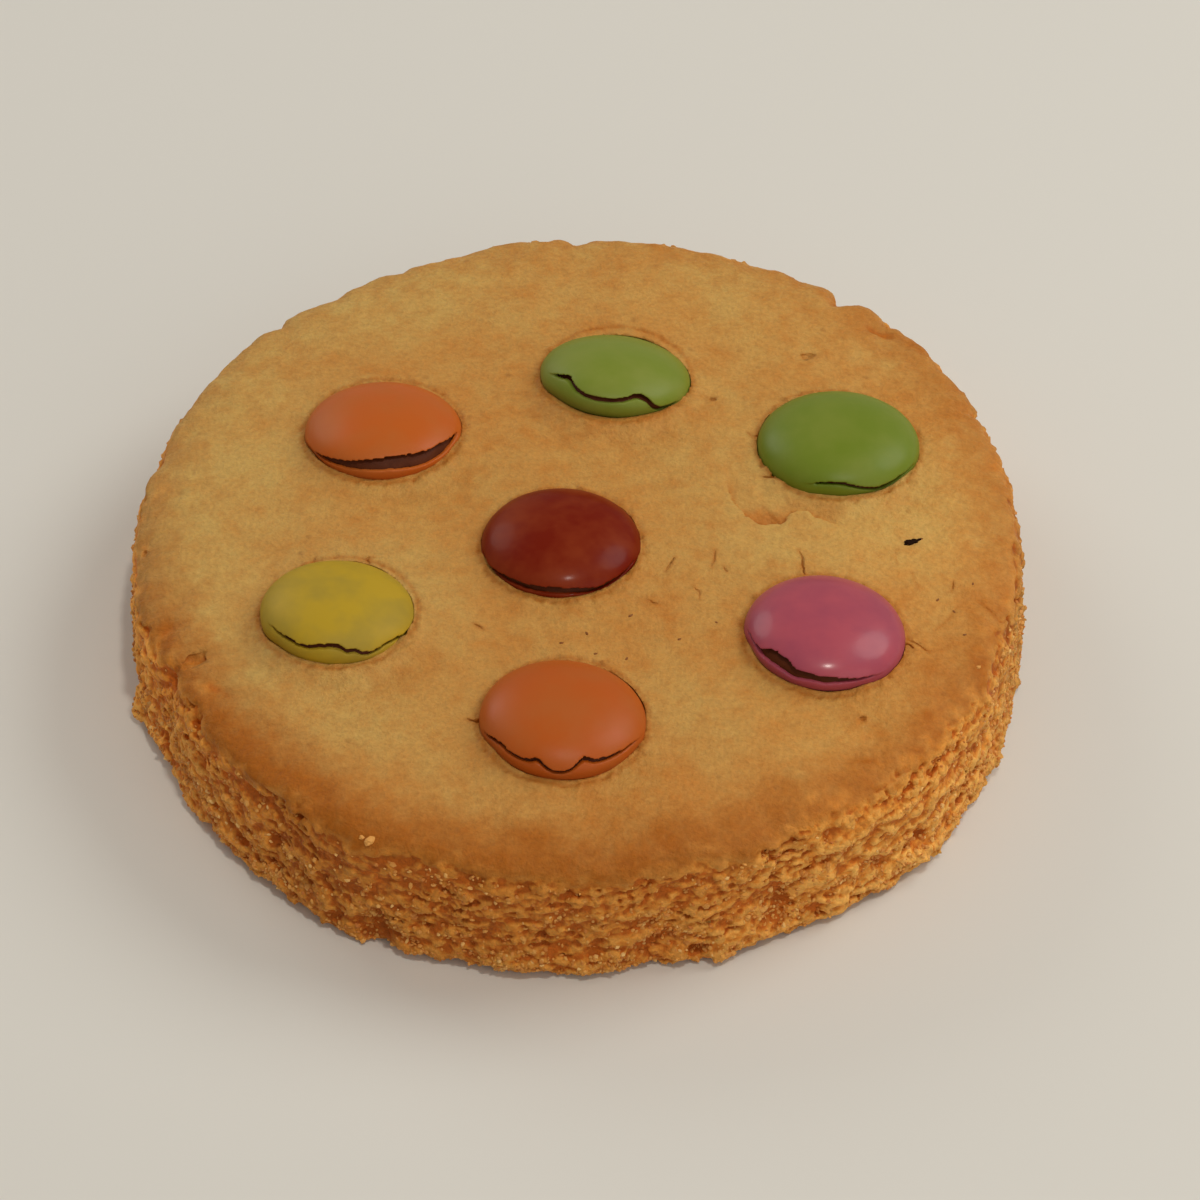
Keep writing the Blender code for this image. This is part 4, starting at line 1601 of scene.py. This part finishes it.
    def crack_wedge(self, number: int, width: float, depth: float, points: np.ndarray) -> bpy.types.Object:
        """Model one thin wedge along a jagged line on the top.

        Args:
            number: The crack's number, which seeds its jags.
            width: The crack's greatest width.
            depth: The crack's greatest depth.
            points: The crack's points on the plan.

        Returns:
            The closed wedge.
        """
        steps = np.hypot(*np.diff(points, axis=0).T)
        along = np.concatenate(((0.0,), np.cumsum(steps)))
        places = np.linspace(0.0, along[-1], max(6, int(along[-1] / self.wedge_step)))
        line = np.column_stack([np.interp(places, along, points[:, axis]) for axis in (0, 1)])
        heading = np.gradient(line, axis=0)
        heading /= np.hypot(*heading.T)[:, None]
        rings = []
        for i, (place, ahead) in enumerate(zip(line, heading)):
            share = places[i] / along[-1]
            taper = 0.25 + 0.75 * sin(pi * min(1.0, max(0.0, share))) ** 0.5
            jag = self.wedge_jag * noise.noise((i * 0.9, number * 3.1, 0.0))
            aside = np.array((-ahead[1], ahead[0]))
            middle = place + aside * jag
            surface = self.plain_crust(np.hypot(*place))
            half = 0.5 * width * taper
            left, right = middle + aside * half * 1.6, middle - aside * half * 1.6
            low_left, low_right = middle + aside * half * 0.7, middle - aside * half * 0.7
            top, floor = surface + self.wedge_top, surface - depth * taper
            rings.append(np.array((
                (*left, top), (*low_left, floor), (*low_right, floor), (*right, top))))
        return loft("crack_" + str(number), rings)

    def crater_lump(
        self, number: int, x: float, y: float, length: float, width: float, turn: float, depth: float
    ) -> bpy.types.Object:
        """Model the ragged lump that is taken out of the crust for one crater.

        Args:
            number: The crater's number, which seeds its shape.
            x: Its middle on the plan.
            y: Its middle on the plan.
            length: Half its length.
            width: Half its width.
            turn: The plan angle of its length.
            depth: Its depth under the crust.

        Returns:
            The closed lump.
        """
        made = lump("crater_" + str(number), 4, 0.55, 13.0 + 3.7 * number)
        side = radians(turn)
        turned = np.array(((cos(side), -sin(side), 0.0), (sin(side), cos(side), 0.0), (0.0, 0.0, 1.0)))
        shaped = (coordinates(made.data) * np.array((length, width, depth))) @ turned.T
        set_coordinates(made.data, shaped + np.array((x, y, self.crust_level(x, y) + 0.15 * depth)))
        return made

    def crust_level(self, x: float, y: float) -> float:
        """Tell how high the crust is over a place on the plan.

        Args:
            x: The place.
            y: The place.

        Returns:
            The height over the table, without the fine grain.
        """
        spot = np.array([[x, y, 0.0]])
        level = self.plain_crust(float(np.hypot(x, y)))
        return float(level + self.swell(spot)[0] - self.top_depth(spot)[0])

    def paint(self, body: bpy.types.Object) -> None:
        """Mark how baked, how crumbly and how deep each spot is.

        The marks include painted shade in crevices, cracks, the sunk crust and round the sweets,
        and painted light round the side.

        Args:
            body: The finished body, in its place.
        """
        points = coordinates(body.data) - np.array((*CENTRE_SHIFT, 0.0))
        radius = np.hypot(points[:, 0], points[:, 1])
        angle = plan_angle(points)
        height = points[:, 2]
        edge = EDGE_RADIUS + self.edge_offset(angle)
        ragged = ripple(points, (1.2, 1.2, 0.7), 51.0)
        crumb = 1.0 - rise(11.3, 13.1, self.lip_level(points) + 1.1 * ragged)
        crumb *= rise(37.0, WALL_START, radius)
        whole = self.plain_wall(height) + self.edge_offset(angle)
        # Painted shade, partly the crumb's own baked tone: the deeper the crumb lies under the plain side,
        # the darker and more orange it is drawn
        sunk = np.clip((whole - radius - 0.15) / 1.1, 0.0, 1.0) * crumb
        crust = np.array(PROFILE[:CRUST_START - 2:-1])
        level = np.interp(radius, crust[:, 0], crust[:, 1])
        pit = np.clip((level - height - 0.25) / 0.6, 0.0, 1.0) * (1.0 - crumb)
        rim = np.array(RIM_BAKE, float)
        bake_and_painted_shade = rise(-8.0, -1.0, radius - edge) * np.interp(angle, rim[:, 0], rim[:, 1])
        toast = np.full(len(points), TOAST_BASE)
        for *oval, amount in TOAST_PATCHES:
            toast += amount * mound(points, *oval, 0.0)
        for *oval, amount in STAINS:
            bake_and_painted_shade += amount * mound(points, *oval) * (height > 10.0)
        light = np.ones(len(points))
        for *oval, amount in LIGHT_PATCHES:
            light += amount * mound(points, *oval, 0.0)
        tone = np.array(SIDE_PAINTED_LIGHT_AND_DEPTH, float)
        # Painted light: the crumbly side is drawn brighter or darker round the plan, as the light falls on
        # it
        light += crumb * np.interp(angle, tone[:, 0], tone[:, 1])
        # Painted shade, partly real browning: a thin brown ring where the crust meets each sweet
        bake_and_painted_shade += 0.55 * np.exp(-(self.contact(points) / 0.28) ** 2)
        # Painted shade: the crust along the fine cracks and tears is browned
        bake_and_painted_shade += 0.42 * np.exp(-(self.crack_distance(points) / 0.22) ** 2) * (height > CRUST_LOWEST)
        ridge = ridges(body.data, self.ridge_rounds)
        # Painted shade, partly real browning: crevices lower than their neighbours are browned
        bake_and_painted_shade += 0.4 * np.clip((-ridge - 0.06) / 0.14, 0.0, 1.0)
        store(body.data, "ridge", ridge)
        scarp = self.scarp_depth(points) * (height > 12.0)
        sunk += crumb * (0.35 * rise(7.0, 12.5, height) + np.interp(angle, tone[:, 0], tone[:, 2]))
        store(body.data, "light", light)
        crumb = np.maximum(crumb, 0.85 * pit * (scarp < 0.02))
        store(body.data, "toast", np.clip(toast + 0.5 * pit + 1.1 * scarp, -0.5, 1.5))
        # Painted shade: the sunk crust behind the broken edge is browned, most along the edge
        store(body.data, "bake_and_painted_shade", np.clip(bake_and_painted_shade + 0.22 * scarp, 0.0, 1.0))
        store(body.data, "crumb", crumb)
        store(body.data, "hollow", sunk)

    def build(self) -> None:
        """Model the biscuit and let it stand for its construction node."""
        draw = np.random.default_rng(self.seed)
        body = self.blank()
        self.shape(body)
        body = join([body, self.wall_crumbs(draw), self.standing_crumbs()])
        voxel(body, self.fine_voxel)
        apply_step(body, "SMOOTH", factor=0.3, iterations=1)
        self.roughen(body)
        self.thin_out(body)
        points = coordinates(body.data)
        set_coordinates(body.data, points + np.array((*CENTRE_SHIFT, 0.0)))
        sockets = []
        for sweet in self.sweets:
            tool = sweet.lentil(
                "socket", self.socket_slack, self.socket_wobble, self.socket_steps, self.socket_level)
            sweet.set_back(tool)
            sweet.set_in_place(tool)
            sockets.append(tool)
        cut_away(body, join(sockets))
        wedges = self.cracks()
        set_coordinates(wedges.data, coordinates(wedges.data) + np.array((*CENTRE_SHIFT, 0.0)))
        cut_away(body, wedges)
        set_coordinates(body.data, kept_inside(coordinates(body.data)))
        self.paint(body)
        smooth_shaded(body)
        body.data.materials.clear()
        body.data.materials.append(self.finish)
        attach(body, BODY)
        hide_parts("biscuit")
        self.body = body
        triangles = sum(len(face.vertices) - 2 for face in body.data.polygons)
        LOG.info("biscuit: %d triangles", triangles)


@dataclass
class Grains:
    """Fine angular grains of dough and sugar that cling to the broken side."""

    biscuit: Biscuit
    finish: bpy.types.Material
    count: int = 8500
    least_size: float = 0.10
    size_range: float = 0.22
    sunk: float = 0.15
    lowest: float = 0.3
    highest: float = 12.0
    seed: int = 21

    def build(self) -> None:
        """Scatter the grains over the broken side."""
        draw = np.random.default_rng(self.seed)
        mesh = self.biscuit.body.data
        centres = face_values(mesh, "center", 3) / MM
        facing = face_values(mesh, "normal", 3)
        area = face_values(mesh, "area", 1)[:, 0]
        radius = np.hypot(centres[:, 0], centres[:, 1])
        height = centres[:, 2]
        wanted = (height > self.lowest) & (height < self.highest) & (radius > WALL_START)
        gathered = rise(-0.15, 0.35, ripple(centres, (5.0, 5.0, 2.0), 91.0)) + 0.25
        gathered *= 1.6 - rise(2.0, 9.0, height)
        weight = np.where(wanted, area * gathered, 0.0)
        chosen = draw.choice(len(area), self.count, p=weight / weight.sum())
        size = self.least_size + self.size_range * draw.beta(*SIZE_SPREAD, self.count)
        places = np.zeros((self.count, 3, 4))
        for i, face in enumerate(chosen):
            spin = Quaternion(draw.normal(0.0, 1.0, 3), draw.uniform(0.0, 2.0 * pi))
            places[i, :, :3] = np.array(spin.to_matrix()) * draw.uniform(0.5, 1.6, 3) * size[i]
            places[i, :, 3] = centres[face] - facing[face] * size[i] * self.sunk
        grains = scattered("crumb_grains", lump("grain", 1, 0.45, 8.0), places)
        set_coordinates(grains.data, kept_inside(coordinates(grains.data)))
        corners = len(grains.data.vertices) // self.count
        store(grains.data, "tint", np.repeat(draw.uniform(0.0, 1.0, self.count), corners))
        grains.data.materials.append(self.finish)
        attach(grains, BODY)
        LOG.info("grains: %d faces", len(grains.data.polygons))


@dataclass
class Specks:
    """A few flat specks of one kind that lie on the crust."""

    name: str
    biscuit: Biscuit
    finish: bpy.types.Material
    spots: tuple[tuple[float, float, float, float, float], ...]
    flatness: float = 0.6
    sunk: float = 0.2
    tint: float = 0.65

    def build(self) -> None:
        """Model the specks and lay them on the crust."""
        places = np.zeros((len(self.spots), 3, 4))
        surface = coordinates(self.biscuit.body.data)
        upper = surface[surface[:, 2] > CRUST_LOWEST]
        for i, (x, y, length, width, turn) in enumerate(self.spots):
            place = np.array((x + CENTRE_SHIFT[0], y + CENTRE_SHIFT[1]))
            near = upper[np.argsort(((upper[:, :2] - place) ** 2).sum(axis=1))[:6]]
            thick = width * self.flatness
            spin = Quaternion((0, 0, 1), radians(turn))
            places[i, :, :3] = np.array(spin.to_matrix()) * np.array((length, width, thick))
            places[i, :, 3] = (*place, near[:, 2].mean() + thick * (0.5 - self.sunk))
        specks = scattered(self.name, lump("speck", 2, 0.6, 17.0), places)
        store(specks.data, "tint", np.full(len(specks.data.vertices), self.tint))
        specks.data.materials.append(self.finish)
        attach(specks, BODY)
        LOG.info("%s: %d faces", self.name, len(specks.data.polygons))


@dataclass
class Studio:
    """A plain pale floor, soft light and the camera."""

    elevation: float = 45.63
    distance: float = 350.0
    aim: tuple[float, float] = (1.99, 2.48)
    lens_mm: float = 108.66
    floor_colour: str = "#dcdad2"
    floor_size_m: float = 3.0
    room_colour: str = "#fff8f2"
    room_strength: float = 0.29

    def build_floor(self) -> None:
        """Lay the pale floor."""
        deselect()
        bpy.ops.mesh.primitive_plane_add(size=self.floor_size_m, location=(0, 0, 0))
        floor = bpy.context.object
        floor.name = "studio_floor"
        made, _, shader = new_material("glazed_white")
        set_inputs(shader, {
            "Base Color": linear_colour(self.floor_colour), "Roughness": 0.5, "Specular IOR Level": 0.3})
        floor.data.materials.append(made)

    def build_light(
        self, name: str, place: tuple[float, float, float], size: float, watts: float, colour: str
    ) -> None:
        """Hang one soft light that faces the biscuit.

        Args:
            name: The light's name.
            place: Its place in metres.
            size: Its width in metres.
            watts: Its power.
            colour: Its colour.
        """
        data = bpy.data.lights.new(name, "AREA")
        data.shape = "DISK"
        data.size = size
        data.energy = watts
        data.color = linear_colour(colour)[:3]
        lamp = bpy.data.objects.new(name, data)
        lamp.location = place
        lamp.rotation_mode = "QUATERNION"
        lamp.rotation_quaternion = (-Vector(place)).to_track_quat("-Z", "Y")
        bpy.context.scene.collection.objects.link(lamp)

    def build_camera(self) -> None:
        """Set the camera at the measured angle."""
        lean = radians(self.elevation)
        back = Vector((0.0, -cos(lean), sin(lean)))
        up = Vector((0.0, sin(lean), cos(lean)))
        data = bpy.data.cameras.new("camera")
        data.lens = self.lens_mm
        data.sensor_width = 36.0
        data.clip_start = 0.01
        camera = bpy.data.objects.new("camera", data)
        place = back * self.distance + Vector((1, 0, 0)) * self.aim[0] + up * self.aim[1]
        place += Vector((*CENTRE_SHIFT, 0.0))
        camera.location = place * MM
        camera.rotation_euler = (radians(90.0 - self.elevation), 0.0, 0.0)
        bpy.context.scene.collection.objects.link(camera)
        bpy.context.scene.camera = camera

    def build(self) -> None:
        """Set up the whole studio."""
        self.build_floor()
        self.build_camera()
        for light in LIGHTS:
            self.build_light(*light)
        world = bpy.data.worlds.new("soft_room")
        world.use_nodes = True
        sky = world.node_tree.nodes["Background"]
        sky.inputs["Color"].default_value = linear_colour(self.room_colour)
        sky.inputs["Strength"].default_value = self.room_strength
        bpy.context.scene.world = world
        bpy.context.scene.view_settings.view_transform = "Standard"
        LOG.info("studio: floor, %d lights, camera", len(LIGHTS))


SHELL_FINISHES = {
    "orange_back": SugarShellFinish("orange_sugar_shell", "#bb5b19", "#b65f21"),
    "orange_front": SugarShellFinish("deep_orange_sugar_shell", "#b35516", "#af591e"),
    "green_back": SugarShellFinish("green_sugar_shell", "#758429", "#7d8835"),
    "green_right": SugarShellFinish("deep_green_sugar_shell", "#6c7e20", "#748229"),
    "red_centre": SugarShellFinish("red_sugar_shell", "#701904", "#802e10", 0.38, 0.06, 0.08),
    "yellow_left": SugarShellFinish("yellow_sugar_shell", "#b39422", "#a2892b", 0.50, 0.18),
    "pink_right": SugarShellFinish("pink_sugar_shell", "#ac4c59", "#9f4657", 0.40, 0.15, 0.26),
}


def main() -> None:
    """Build every piece in order."""
    logging.basicConfig(level=logging.INFO)
    chocolate = PlainFoodFinish("dark_chocolate", "#431d0d", "#653216", 0.50, 0.9, 0.12, 0.12).build()
    sweets = [Sweet(key, SHELL_FINISHES[key].build(), chocolate) for key in SWEETS]
    for sweet in sweets:
        sweet.build()
    biscuit = Biscuit(ShortcrustFinish().build(), sweets)
    biscuit.build()
    dough = GrainFinish().build()
    Grains(biscuit, dough).build()
    Specks("pale_crumbs", biscuit, dough, PALE_CRUMBS).build()
    char = PlainFoodFinish("charred_sugar", "#120905", "#2c180d", 0.80, 0.4, 0.05, 0.05).build()
    Specks("charred_specks", biscuit, char, CHARRED_SPECKS).build()
    brown = PlainFoodFinish("browned_sugar", "#7a4519", "#925a22", 0.50, 0.4, 0.05, 0.3).build()
    Specks("browned_specks", biscuit, brown, BROWN_SPECKS).build()
    Studio().build()


if __name__ == "__main__":
    main()
